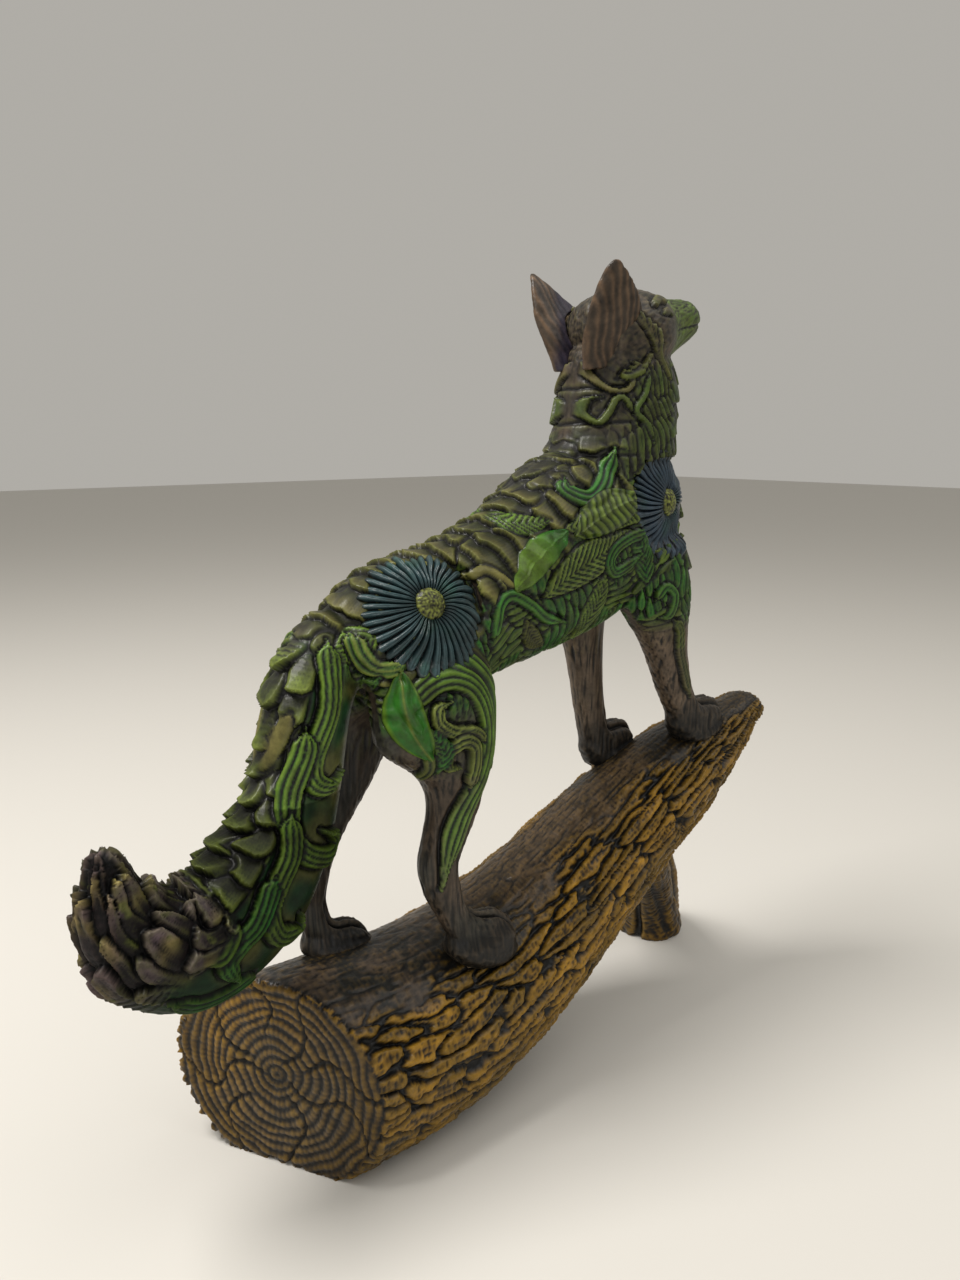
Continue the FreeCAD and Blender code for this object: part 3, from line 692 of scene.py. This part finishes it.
carving.tint(mix(OLIVE, LIME, 0.5 + 0.5 * strands), 0.8 * muzzle)
mouth = np.exp(-((z - 196.8 - 0.18 * (x - 60)) / 0.35) ** 2) * ramp(58, 62, x)
carving.height -= 0.6 * mouth * (np.abs(y - Y_MIDDLE) > 0.4)
skull = ramp(184, 188, z) * (1 - muzzle) * (x < 52)
stubble = noise_c(stack(x / 2.2, y / 0.7, z / 1.1))
carving.height += 0.14 * stubble * skull
carving.tint(mix(BLACK * 3, BROWN * 1.3, 0.5 + 0.7 * stubble), 0.8 * skull)
muzzle_dark = ramp(0.1, 0.5, -strands - 0.2 + 0.3 * noise_a(body.at / 3))
carving.tint(BLACK * 2, 0.85 * muzzle * muzzle_dark)
nose = ramp(72.2, 74.4, x) * ramp(200.5, 202.0, z)
carving.tint(BLACK, 0.9 * nose)

# the tail: plates down its outer side, scrolls down its leg side, flame tufts at the tip
TAIL_LINE = [(-38, -6.4, 124.5), (-47.3, -6.9, 120), (-53.5, -8.4, 108), (-57.35, -9.4, 94),
             (-64.35, -10.4, 80), (-76.35, -10.9, 68.5), (-88.85, -10.9, 66.8), (-96.85, -10.9, 74.5),
             (-100.35, -10.9, 84), (-101.35, -10.9, 89.5)]
tail_s, tail_angle, tail_radius = along(body.at, TAIL_LINE)
on_tail = ramp(10, 15, tail_s) * (tail_radius < 15) * (x < -42)
tail_across = np.angle(np.exp(1j * (tail_angle + math.pi / 2))) * 9.5
who = np.where(on_tail > 0)[0]
base_tone = mix(DEEP_GREEN, OLIVE, ramp(-0.3, 0.4, noise_b(body.at / 7)))
carving.lay(who, on_tail[who], 0 * who, base_tone[who])
plates = on_tail * ramp(0.58, 0.66, -np.sin(tail_angle)) * (1 - ramp(72, 76, tail_s))
carving.shingles(who, tail_s[who] + 3 * np.abs(tail_across[who]) / 9, tail_across[who] + 3.5, 7.4, 7.0, 2.7,
                 DARK_OLIVE * 0.6, mix(LIME, TAN, 0.35), 0.4, 21, plates[who])
TAIL_SCROLLS = [
    ([(-50.5, 126), (-51.5, 120.9), (-53.0, 111.8), (-57.6, 102.3), (-57.7, 97.2), (-53.9, 95.6),
      (-50.6, 97.9)], 2.6, 1.8, DEEP_GREEN, LIME, 4),
    ([(-58.2, 109), (-59.2, 103.7), (-63.0, 95.5), (-64.4, 88.5), (-61.9, 82.9), (-55.1, 80.0), (-52.3, 82.9),
      (-57.4, 86.7)], 2.5, 1.9, DEEP_GREEN, LIME, 4),
    ([(-63.5, 92), (-65.3, 83.8), (-68.9, 78.5), (-71.6, 72.9), (-69.5, 67.3), (-63.8, 66.5), (-63.7, 70.0)],
     2.4, 1.9, DEEP_GREEN, LIME, 4),
    ([(-69.5, 80), (-74.4, 71.9), (-78.7, 68.8), (-81.5, 65.2), (-78.3, 59.9)],
     2.4, 1.7, DEEP_GREEN, GREEN * 1.4, 4),
    ([(-78, 73), (-82.7, 66.9), (-88.3, 70.3), (-93.9, 71.9), (-96.4, 68.9), (-94.9, 66.6)],
     1.6, 1.3, DEEP_GREEN, LIME, 2),
    ([(-74, 60), (-80, 57.5), (-87, 57.0), (-93, 60)], 2.0, 1.2, DEEP_GREEN, GREEN, 4),
    ([(-60, 112), (-64, 104), (-69, 97)], 1.2, 1.2, OLIVE, TAN, 0),
]
for side in SIDES:
    for points, half, height, dark, light, ridges in TAIL_SCROLLS:
        carving.ribbon(side, points, half, height, dark, light, ridges)
flame = on_tail * ramp(70, 76, tail_s - 14 * ramp(-0.45, 0.35, np.sin(tail_angle)))
who = np.where(flame > 0)[0]
flame_light = mix(PURPLE * 4.2, TAN * 2.0, ramp(-0.2, 0.5, noise_a(body.at / 5)))[who]
carving.shingles(who, tail_s[who] + 2, tail_across[who] + 1, 11.0, 4.2, 2.9, PURPLE * 0.4, flame_light,
                 0.6, 33, flame[who])
carving.grain(who, stack(tail_s[who] / 9, tail_across[who], tail_radius[who] / 8), 0.16, 0.8)
spots = ramp(0.40, 0.6, noise_c(body.at / 2.8)) * flame
carving.tint(mix(LIME, TAN, 0.5), 0.7 * spots)

# paws: three grooves down the front of each; the hind ones are pared all round
TOES = ((-13, -19.4, 49), (-40, 3.8, 48), (70, -16.4, 88), (53, 2.4, 81))
for toe_x, toe_y, toe_z in TOES:
    near_paw = ramp(13, 7, np.hypot(x - toe_x - 4, (z - toe_z) * 0.8)) * (np.abs(y - toe_y) < 7)
    near_paw = near_paw * ramp(0.05, 0.4, nz + 0.6 * nx)
    for gap in (-2.7, 0.0, 2.7):
        groove = np.exp(-((y - toe_y - gap * (1 + 0.02 * (x - toe_x))) / 0.55) ** 2) * near_paw
        carving.height -= 1.2 * groove
        carving.tint(BLACK, 0.95 * groove)
    carving.height += 0.5 * near_paw * np.abs(np.cos(np.pi * (y - toe_y) / 5.4))
    pared = ramp(17, 11, np.hypot(x - toe_x, y - toe_y))
    pared *= ramp(-2, 2, z - toe_z) * ramp(17, 9, z - toe_z)
    carving.height -= 1.1 * pared * (toe_x < 0)

# feet darkened towards the trunk, and soles thickened to meet it
feet = ramp(13, 4, z - np.where(x < 20, 45.0, 80.0) - np.where(x < 20, 0.0, 0.4 * (x - 50))) * (x > -45)
carving.tint(BLACK * 1.5, 0.8 * feet)
SOLES = ((-14, -19.6, 43), (-40, 3.8, 43), (70, -16.6, 83), (55, 2.4, 74))
for sole_x, sole_y, sole_z in SOLES:
    sole = (np.hypot(x - sole_x, y - sole_y) < 13) * ramp(8, 4, z - sole_z) * ramp(0.0, 0.6, -nz)
    carving.height += 1.5 * sole
    carving.tint(BLACK, sole)
hollow, rubbed = carving.finish()
normals = body.normals()
cx, cy, cz = body.at[body.faces].mean(axis=1).T


# the parted skin: each face goes to the CAD node on its side of the glue joints
def top_of(node):
    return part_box(node)[1][2] / MM


HEAD_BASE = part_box("head")[0][2] / MM
NECK_POINT, NECK_TILT = (36.65, 157.0), math.radians(27)
BEHIND, AHEAD = cx < 20, cx > 20
above_neck = (cx - NECK_POINT[0]) * math.sin(NECK_TILT) + (cz - NECK_POINT[1]) * math.cos(NECK_TILT) > 0
right = cy < Y_MIDDLE
parts = {
    "head": cz > HEAD_BASE,
    "neck": above_neck & (cz <= HEAD_BASE),
    "right_hind_leg": (cz < top_of("right_hind_leg")) & BEHIND & right,
    "left_hind_leg": (cz < top_of("right_hind_leg")) & BEHIND & ~right,
    "right_fore_leg": (cz < top_of("right_fore_leg")) & AHEAD & right,
    "left_fore_leg": (cz < top_of("left_fore_leg")) & AHEAD & ~right,
}
tail_face_s, tail_face_radius = (np.mean(values[body.faces], axis=1) for values in (tail_s, tail_radius))
parts["tail"] = (tail_face_radius < 14) & (tail_face_s > 10) & (cx < -44)
parts["torso"] = ~np.any(list(parts.values()), axis=0)

FUR = wood("stained_fur", 900.0, 0.46)
LEG = wood("leg_wood", 1400.0, 0.44, rub=(0.30, 0.22, 0.14), rub_amount=0.4)
TAIL = wood("tail_fur", 900.0, 0.46)
for node in BODY_NODES:
    finish = LEG if node.endswith("leg") else TAIL if node == "tail" else FUR
    carved_piece("carved_" + node, body, parts[node], carving.stain, hollow, rubbed, normals, finish, node)


# ---------------------------------------------------------------- the log
TRUNK_LINE = [(-81, -4.9, 21.6), (-57, -4.9, 21.6), (-20, -5.1, 22.3), (12.6, -5.6, 34), (39.6, -7.4, 51.5),
              (63.6, -10.4, 67.5), (82.6, -13.4, 79), (104, -17, 91)]
PLATE_LONG, PLATE_WIDE, TRUNK_RADIUS = 19.0, 3.4, 21.0
RING_PITCH = 2.3
PAW_POOLS = ((-12, -18, 44), (-41, 4, 46), (68, -16, 82), (52, 3, 74))


def sawn_end(at, end_normal, end_point):
    """Growth rings, radial cracks and saw marks: their height and stain over the end face."""
    flat = np.zeros(len(at))
    away = at - np.array(end_point)
    across = np.cross(end_normal, [0, 0, 1.0])
    across /= np.linalg.norm(across)
    h, k = away @ across, away[:, 2]
    warp = stack(h / 9, k / 9, flat)
    h_bent, k_bent = h + 1.3 * noise_a(warp), k + 1.3 * noise_b(warp)
    r = np.hypot(h_bent, k_bent)
    turn = np.arctan2(k_bent, h_bent)
    ring = np.abs(np.sin(np.pi * r / RING_PITCH)) ** 0.9
    spoke = flat
    for i, where in enumerate((-2.7, -1.9, -0.9, -0.15, 0.55, 1.25, 2.1, 2.9)):
        bend = where + 0.25 * np.sin(r / 4 + i * 2)
        gap = np.abs(np.angle(np.exp(1j * (turn - bend)))) * r
        crack = np.exp(-(gap / 0.45) ** 2) * ramp(2 + i % 3 * 3, 6 + i % 3 * 4, r)
        spoke = np.maximum(spoke, crack)
    hatch = 0.5 + 0.5 * np.sin(turn * np.round(np.floor(r / RING_PITCH) * 9 + 8))
    height = 0.55 * ring - spoke + 0.12 * hatch + 0.3 * noise_c(at / 3)
    amber = np.clip(0.20 + 0.5 * noise_a(at / 6) + 0.02 * (h + k), 0, 1)
    wood_stain = mix(np.array([0.10, 0.070, 0.040]), AMBER * 0.7, amber)
    stain = mix(BLACK * 1.5, wood_stain, ring * (0.45 + 0.55 * hatch))
    stain = mix(stain, BLACK * 2, spoke)
    stain = mix(stain, BLACK * 2, 0.55 * ramp(15, 3, r + 3 * noise_a(at / 5)))
    return height, mix(stain, OCHRE * 0.45, 0.7 * ramp(17, 23, r))


def bark(skin, end_normal=None, end_point=None):
    """Cracked bark plates, worn smooth along the top, painted shade on the underside, and ringed wood on the
    sawn end.
    """
    work = Carving(skin)
    at, normal = work.at, work.normal
    s, angle, radius = along(at, TRUNK_LINE)
    arc = angle * TRUNK_RADIUS
    fissures = np.full(len(at), 9.0)
    second = np.full(len(at), 9.0)
    warp = stack(s / 20, arc / 7, np.zeros(len(at)))
    u = s / PLATE_LONG + 0.80 * noise_a(warp) + 0.30 * noise_b(warp * 2.7)
    v = arc / PLATE_WIDE + 0.55 * noise_b(warp + 5) + 0.22 * noise_c(warp * 3)
    cell_u, cell_v = np.floor(u), np.floor(v)
    jitter = np.random.default_rng(5).random((64, 64, 3))
    tone = np.zeros(len(at))
    for du in (-1, 0, 1):
        for dv in (-1, 0, 1):
            gu, gv = cell_u + du, cell_v + dv
            spot = jitter[gu.astype(int) % 64, gv.astype(int) % 30]
            gap = np.hypot((gu + 0.15 + 0.7 * spot[:, 0] - u) * 1.2, gv + 0.15 + 0.7 * spot[:, 1] - v)
            closer = gap < fissures
            second = np.where(closer, fissures, np.minimum(second, gap))
            tone = np.where(closer, spot[:, 2], tone)
            fissures = np.where(closer, gap, fissures)
    crack = 1 - ramp(0.02, 0.34, second - fissures + 0.12 * noise_c(warp * 7))
    rough = noise_c(stack(s / 2.2, arc / 0.8, radius))
    ragged = noise_a(stack(s / 5, arc / 2.0, radius / 9))
    plate = 0.75 + 0.5 * tone + 0.35 * rough + 0.5 * ragged
    smooth_top = ramp(0.60, 0.80, normal[:, 2] + 0.16 * noise_b(at / 13)) * ramp(4, 14, s)
    height = (plate - 2.0 * crack) * (1 - 0.92 * smooth_top)
    ticks = np.sin(2 * np.pi * (s + 0.6 * rough) / 1.5) * 0.10 * (1 - crack)
    bricks = ramp(0.80, 0.97, np.abs(np.sin(np.pi * (s + 1.5 * ragged) / 3.4)))
    bricks = bricks * ramp(0.45, 0.65, normal[:, 2])
    bricks = bricks * ramp(60, 75, s) * (1 - ramp(130, 150, s))
    crack = np.maximum(crack, 0.8 * bricks * ramp(-0.2, 0.3, noise_a(at / 7)))
    height += ticks * (1 - 0.5 * smooth_top) + 0.10 * smooth_top * (rough + noise_a(at / 2.0))
    light = mix(OCHRE * 0.55, AMBER, np.clip(0.05 + 0.75 * tone + 0.6 * rough + 0.3 * ragged, 0, 1))
    stain = mix(light, BLACK * 1.5, ramp(0.25, 0.8, crack))
    black_run = ramp(0.0, 0.45, noise_a(stack(s / 20, arc / 7, np.full(len(at), 9.0))))
    # painted shade: bark that faces downward is darkened, together with the random black runs of stain
    painted_underside_shade = ramp(0.1, -0.7, normal[:, 2])
    stain = mix(stain, BLACK * 2, np.clip(0.75 * black_run + 0.7 * painted_underside_shade, 0, 0.92) * (1 - smooth_top))
    worn = mix(BLACK * 3, BROWN * 1.15, ramp(-0.45, 0.35, noise_b(at / 8) + 0.6 * rough))
    worn = mix(worn, mix(BROWN, AMBER, 0.18), ramp(60, 90, s) * 0.6)
    for paw in PAW_POOLS:
        away = np.linalg.norm((at - paw) * [0.75, 1.1, 0.6], axis=1)
        pooled = ramp(15, 8, away + 3 * noise_a(at / 5))
        worn = mix(worn, BLACK * 1.3, 0.9 * pooled)
        stain = mix(stain, BLACK * 1.3, 0.8 * pooled)
    stain = mix(stain, worn, smooth_top)
    tip = ramp(165, 185, s)
    stain = mix(stain, BLACK * 3, 0.6 * tip)
    if end_normal is not None:
        face = ramp(0.70, 0.92, normal @ np.array(end_normal))
        end_height, end_stain = sawn_end(at, np.array(end_normal), end_point)
        height = height * (1 - face) + end_height * face
        stain = mix(stain, end_stain, face)
    work.height[:] = height
    work.stain[:] = stain
    return work


def whole_piece(name, work, material, node):
    """A carved skin as one piece, none of it below the surface that the figure stands on."""
    hollow, rubbed = work.finish()
    skin = work.skin
    skin.at[:, 2] = np.maximum(skin.at[:, 2], 0)
    everything = np.ones(len(skin.faces), dtype=bool)
    carved_piece(name, skin, everything, work.stain, hollow, rubbed, skin.normals(), material, node)


BARK = wood("bark", 1600.0, 0.36, bump=0.35, rub=(0.52, 0.30, 0.03), rub_amount=0.5, gloss=0.12)
END_TURN = math.radians(27)
END_NORMAL = (-math.cos(END_TURN), -math.sin(END_TURN), 0.0)
END_POINT = (-62.35, -5.0, 23.7)
trunk = shell(["log_trunk"], 1.1, 0.58, 3, 2)
whole_piece("carved_log", bark(trunk, END_NORMAL, END_POINT), BARK, "log_trunk")
root = shell(["log_root_foot"], 1.0, 0.58, 6, 2)
root_work = bark(root)
root_work.stain *= 0.6
whole_piece("carved_root_foot", root_work, BARK, "log_root_foot")

# ---------------------------------------------------------------- ears, drawn in to the skull at the base
EAR = wood("ear_wood", 1500.0, 0.42, bump=0.15, rub=(0.20, 0.13, 0.08), rub_amount=0.3)
for name, side in (("right_ear", RIGHT), ("left_ear", LEFT)):
    ear = shell([name], 0.5, 0.3, 3, 2)
    base = ramp(201, 187, ear.at[:, 2])
    ear.at[:, 1] = Y_MIDDLE + (ear.at[:, 1] - Y_MIDDLE) * (1 - 0.26 * base)
    work = Carving(ear)
    ax, _, az = ear.at.T
    rings = 0.5 + 0.5 * np.sin(2 * np.pi * (ax + 0.38 * az + 1.1 * noise_a(ear.at / 6)) / RING_PITCH)
    work.stain[:] = mix(BROWN * 0.75, np.array([0.125, 0.078, 0.046]), rings**2 * 0.9)
    inner = ramp(0.1, 0.5, -side * work.normal[:, 1])
    shadow = ramp(29, 33, ax - 0.30 * (az - 200)) * inner
    work.tint(np.array([0.025, 0.022, 0.045]), 0.85 * shadow)
    hollowed = np.exp(-((ax - 35 + 0.2 * (az - 195)) / 4.5) ** 2)
    hollowed *= ramp(190, 196, az) * (1 - ramp(203, 208, az))
    work.height[:] = 0.10 * rings + 0.05 * noise_b(ear.at / 1.2) - 0.8 * hollowed * inner
    edge = ramp(0.25, 0.75, work.normal[:, 0])
    work.height -= 0.5 * edge
    work.tint(BLACK * 2, 0.6 * edge)
    whole_piece("carved_" + name, work, EAR, name)

# ---------------------------------------------------------------- flowers and leaves, laid over the skin
carved_body = BVHTree.FromPolygons([Vector(p) for p in body.at.tolist()], body.faces.tolist())


def skin_depth(points, out):
    """How far along the outward direction the carved body lies from each point."""
    depth = np.full(len(points), np.nan)
    reach = 9.0
    for i, point in enumerate(points):
        hit = carved_body.ray_cast(Vector(point + out * reach), Vector(-out), 2 * reach)
        if hit[0] is not None:
            depth[i] = reach - hit[3]
    depth[np.isnan(depth)] = np.nanmin(depth)
    return depth


def middle_of(node):
    low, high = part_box(node)
    return 0.5 * (np.array(low) + np.array(high)) / MM


def frame_of(out, along_hint):
    """Three square directions: outward, close to the hint, and across both."""
    out = np.array(out, dtype=float)
    out /= np.linalg.norm(out)
    u = np.array(along_hint, dtype=float)
    u -= out * (u @ out)
    u /= np.linalg.norm(u)
    return out, u, np.cross(out, u)


def sheet_piece(name, rows, columns, at, wrap, depth, attributes, material, node):
    """A closed piece from a grid of points: the carved face, a rim and a flat back, sunk in the skin."""
    index = np.arange(rows * columns).reshape(rows, columns)
    i = np.arange(rows - 1)
    j = np.arange(columns if wrap else columns - 1)
    k = (j + 1) % columns
    faces = [stack(index[n, j], index[n + 1, j], index[n + 1, k], index[n, k]) for n in i]
    faces = np.vstack(faces)
    back = faces[:, ::-1] + len(at)
    rim_pairs = [(index[-1, j], index[-1, k]), (index[0, k], index[0, j])]
    if not wrap:
        rim_pairs += [(index[i, 0], index[i + 1, 0]), (index[i + 1, -1], index[i, -1])]
    rim = [stack(a, a + len(at), b + len(at), b) for a, b in rim_pairs]
    all_faces = np.vstack([faces, back] + rim)
    points = np.vstack([at, at - depth])
    both = {key: np.concatenate([value, value]) for key, value in attributes.items()}
    add_piece(name, mesh_from(name, points, all_faces, both), material, node)


PETAL = wood("petal_wood", 1300.0, 0.36, bump=0.25, rub=(0.10, 0.15, 0.16), rub_amount=0.9)
EYE_WOOD = wood("flower_eye_wood", 1300.0, 0.45, bump=0.2, rub=(0.34, 0.36, 0.08), rub_amount=0.7)
LEAF = wood("leaf_wood", 1100.0, 0.38, bump=0.12, rub=(0.34, 0.36, 0.06), rub_amount=0.25)
RIM_RADIUS, EYE_RADIUS = 15.6, 3.6
FLOWERS = {
    "right_hip_flower": ((-0.12, -0.90, 0.42), 39, BLUE * 0.9),
    "left_hip_flower": ((0.0, 0.98, 0.16), 39, BLUE * 0.9),
    "right_shoulder_flower": ((0.28, -0.95, 0.05), 41, DEEP_BLUE * 1.3),
    "left_shoulder_flower": ((0.25, 0.96, 0.05), 41, DEEP_BLUE * 1.3),
}
RINGS, SPOKES = 40, 820
CAST_RINGS, CAST_SPOKES = 3, 10
for number, (flower, (out, petals, colour)) in enumerate(FLOWERS.items()):
    out, u, v = frame_of(out, (0.3, 0, 1))
    middle = middle_of(flower + "_eye")
    rng = np.random.default_rng(100 + number)
    inner = EYE_RADIUS * 0.8
    r = np.repeat(np.linspace(0, 1, RINGS), SPOKES)
    turn = np.tile(np.linspace(0, 2 * np.pi, SPOKES, endpoint=False), RINGS)
    swirl = turn + 0.16 * r**1.5 + 0.05 * np.sin(3 * turn + number)
    petal = swirl * petals / (2 * np.pi)
    which = np.floor(petal).astype(int) % petals
    across = petal - np.floor(petal) - 0.5
    length = 0.88 + 0.10 * rng.random(petals)[which] - (0.10 if "hip" in flower else 0.03) * np.cos(turn)
    length = length * (1 - 0.10 * (2 * across) ** 2)
    reach = inner + (RIM_RADIUS * length - inner) * r
    flat = middle + np.outer(reach * np.cos(turn), u) + np.outer(reach * np.sin(turn), v)
    # the skin's depth, cast on a coarse grid, rounded off and filled in between
    coarse = flat.reshape(RINGS, SPOKES, 3)[::CAST_RINGS, ::CAST_SPOKES]
    grid = skin_depth(coarse.reshape(-1, 3), out).reshape(-1, SPOKES // CAST_SPOKES)
    for _ in range(3):
        grid = 0.5 * grid + 0.25 * (np.roll(grid, 1, axis=1) + np.roll(grid, -1, axis=1))
        grid[1:-1] = 0.5 * grid[1:-1] + 0.25 * (grid[2:] + grid[:-2])
    rows_at = np.linspace(0, RINGS - 1, RINGS) / CAST_RINGS
    lower = np.clip(np.floor(rows_at).astype(int), 0, len(grid) - 2)
    part = (rows_at - lower)[:, None]
    grid = grid[lower] * (1 - part) + grid[lower + 1] * part
    cols = np.arange(SPOKES) / CAST_SPOKES
    left = np.floor(cols).astype(int) % grid.shape[1]
    part = cols - np.floor(cols)
    grid = grid[:, left] * (1 - part) + grid[:, (left + 1) % grid.shape[1]] * part
    depth = grid.ravel()
    crown = np.sqrt(np.maximum(1 - (2.0 * across) ** 2, 0)) * (1 - 0.18 * np.exp(-(across / 0.08) ** 2))
    round_off = 1 - 0.75 * ramp(0.80, 1.0, r) ** 2
    valley = 0.35 + 0.65 * crown
    height = (1.35 + 0.5 * np.sin(np.pi * r)) * round_off * valley - 0.5 * (1 - ramp(0.0, 0.25, r))
    height += 0.10 * noise_c(stack(turn * 30, r * 3, np.full(len(r), number)))
    at = flat + np.outer(depth + height, out)
    crest = np.clip(crown**5 * (0.2 + 0.7 * rng.random(petals)[which]), 0, 1)
    tone = mix(colour * 0.6, mix(colour * 2.4, GREY * 2.2, 0.4), crest)
    tone = mix(tone, mix(colour, GREEN, 0.4), 0.5 * ramp(0.1, 0.5, noise_a(flat / 6)))
    wash = 1.15 * (1 - crown) ** 0.9 + 0.6 * ramp(0.93, 1.0, r) + 0.35 * (1 - ramp(0, 0.35, r))
    attributes = {"stain": tone, "hollow": np.clip(wash, 0, 1), "rubbed": np.clip(crown**3 * 0.6, 0, 1)}
    thickness = np.outer(np.minimum(height + 0.6, 2.2), out)
    sheet_piece("carved_" + flower + "_petals", RINGS, SPOKES, at, True, thickness, attributes,
                PETAL, flower + "_petals")
    # the eye: a stippled button
    rows, columns = 34, 96
    tilt = np.repeat(np.linspace(0.004, 0.5 * np.pi, rows), columns)
    turn = np.tile(np.linspace(0, 2 * np.pi, columns, endpoint=False), rows)
    wide, tall = EYE_RADIUS * 1.02, 2.1
    base = float(np.mean(grid[0]))
    flat = np.outer(wide * np.sin(tilt) * np.cos(turn), u) + np.outer(wide * np.sin(tilt) * np.sin(turn), v)
    stipple = noise_b((flat + middle) / 0.55)
    lift = base + 0.6 + tall * np.cos(tilt) + 0.22 * stipple * np.sin(tilt)
    at = middle + flat + np.outer(lift, out)
    tone = mix(OLIVE * 1.2, mix(LIME, TAN, 0.5), ramp(-0.2, 0.4, stipple))
    attributes = {"stain": tone, "hollow": ramp(0.1, 0.5, -stipple) + 0.6 * ramp(1.2, 1.55, tilt),
                  "rubbed": ramp(0.2, 0.6, stipple)}
    thickness = np.outer(np.full(len(at), 1.2), out)
    sheet_piece("carved_" + flower + "_eye", rows, columns, at, True, thickness, attributes,
                EYE_WOOD, flower + "_eye")

# name: outward direction, direction of the tip, length, width, base stain, tip stain, bend of the midrib
LEAVES = {
    "flank_leaf": ((0, -0.97, 0.22), (0.80, 0, 0.60), 22, 8.6, LIME * 0.9, GREEN * 1.0, 1.2),
    "thigh_leaf": ((-0.30, -0.95, 0), (0.30, 0, -0.95), 21, 9.2, GREEN * 1.0, LIME, -2.4),
    "shoulder_leaf": ((0, -1, 0.1), (0.93, 0, 0.36), 24, 10.4, DEEP_GREEN * 1.6, LIME, 1.4),
}
for kind, (out, tip, long, wide, base_stain, tip_stain, bend) in LEAVES.items():
    for side, prefix in ((RIGHT, "right_"), (LEFT, "left_")):
        normal, u, v = frame_of((out[0], out[1] * -side, out[2]), tip)
        middle = middle_of(prefix + kind)
        rows, columns = 90, 48
        t = np.repeat(np.linspace(0, 1, rows), columns)
        w = np.tile(np.linspace(-1, 1, columns), rows)
        half = 0.5 * wide * np.sin(np.pi * np.clip(0.012 + 0.976 * t, 0, 1)) ** 0.7
        curve = bend * np.sin(np.pi * t)
        flat = middle + np.outer((t - 0.5) * long, u) + np.outer(w * half + curve, v)
        depth = skin_depth(flat, normal)
        depth_grid = depth.reshape(rows, columns)
        for _ in range(8):
            depth_grid[1:-1] = 0.5 * depth_grid[1:-1] + 0.25 * (depth_grid[2:] + depth_grid[:-2])
            depth_grid[:, 1:-1] = 0.5 * depth_grid[:, 1:-1] + 0.25 * (depth_grid[:, 2:] + depth_grid[:, :-2])
        depth = depth_grid.ravel()
        dome = np.sqrt(np.maximum(1 - 0.95 * w**2, 0))
        rib = np.exp(-(w * half / 0.55) ** 2) * ramp(0, 0.06, t) * (1 - ramp(0.85, 1.0, t))
        height = 1.5 * dome * np.sin(np.pi * t) ** 0.35 - 0.35 * rib * (kind == "thigh_leaf")
        height += 0.05 * noise_c(stack(t * 4, w * 7, np.full(len(t), 2.0)))
        rib_ridge = np.exp(-(w * half / 0.30) ** 2)
        height += 0.30 * rib_ridge
        at = flat + np.outer(depth + height, normal)
        to_tip = ramp(0.45, 0.9, t) if kind == "flank_leaf" else ramp(0.72, 0.92, np.abs(w))
        tone = mix(base_stain, tip_stain, to_tip)
        tone = mix(tone, mix(LIME, TAN, 0.4), 0.8 * rib_ridge * (kind != "flank_leaf"))
        if kind == "shoulder_leaf":
            vein = np.abs(np.cos(np.pi * (t * 11 - 1.1 * np.abs(w))))
            at -= np.outer(0.55 * (1 - vein**0.7) * dome, normal)
            tone = mix(DEEP_GREEN * 0.5, mix(LIME, TAN, 0.25), vein**2 * 0.9)
        wash = 0.9 * ramp(0.93, 1.0, np.abs(w)) + 0.25 * (1 - ramp(0.0, 0.08, t))
        attributes = {"stain": tone, "hollow": wash, "rubbed": 0.4 * dome}
        back = np.outer(np.full(len(t), 1.5), normal)
        order = at.reshape(rows, columns, 3)
        if np.dot(np.cross(u, v), normal) > 0:  # the grid's faces have to look outward
            order = order[:, ::-1]
            attributes = {key: value.reshape(rows, columns, -1)[:, ::-1].reshape(rows * columns, -1).squeeze()
                          for key, value in attributes.items()}
        sheet_piece("carved_" + prefix + kind, rows, columns, order.reshape(-1, 3), False, back, attributes,
                    LEAF, prefix + kind)

# ---------------------------------------------------------------- dowels
PIN, tree, shader = varnished("dowel_wood", 1500.0, 0.6, bump=0.2, gloss=0.0)[:3]
pale_grain = new(tree, "ShaderNodeTexNoise", Scale=900.0, Detail=4.0)
pale_wood = new(tree, "ShaderNodeMix", data_type="RGBA")
pale_wood.inputs["A"].default_value = (0.42, 0.30, 0.17, 1)
pale_wood.inputs["B"].default_value = (0.55, 0.42, 0.26, 1)
tree.links.new(pale_grain.outputs["Fac"], pale_wood.inputs["Factor"])
tree.links.new(pale_wood.outputs["Result"], shader.inputs["Base Color"])
for node in nodes:
    if node.endswith("dowel"):
        nodes[node].data.materials.clear()
        nodes[node].data.materials.append(PIN)

# ---------------------------------------------------------------- the floor
floor_mesh = bpy.data.meshes.new("floor")
floor_mesh.from_pydata([(-3, -3, 0), (3, -3, 0), (3, 3, 0), (-3, 3, 0)], [], [(0, 1, 2, 3)])
floor = bpy.data.objects.new("floor", floor_mesh)
scene.collection.objects.link(floor)
pale, tree, shader = nodes_of("pale_floor")
shader.inputs["Base Color"].default_value = (0.62, 0.60, 0.56, 1)
shader.inputs["Roughness"].default_value = 0.7
floor_mesh.materials.append(pale)
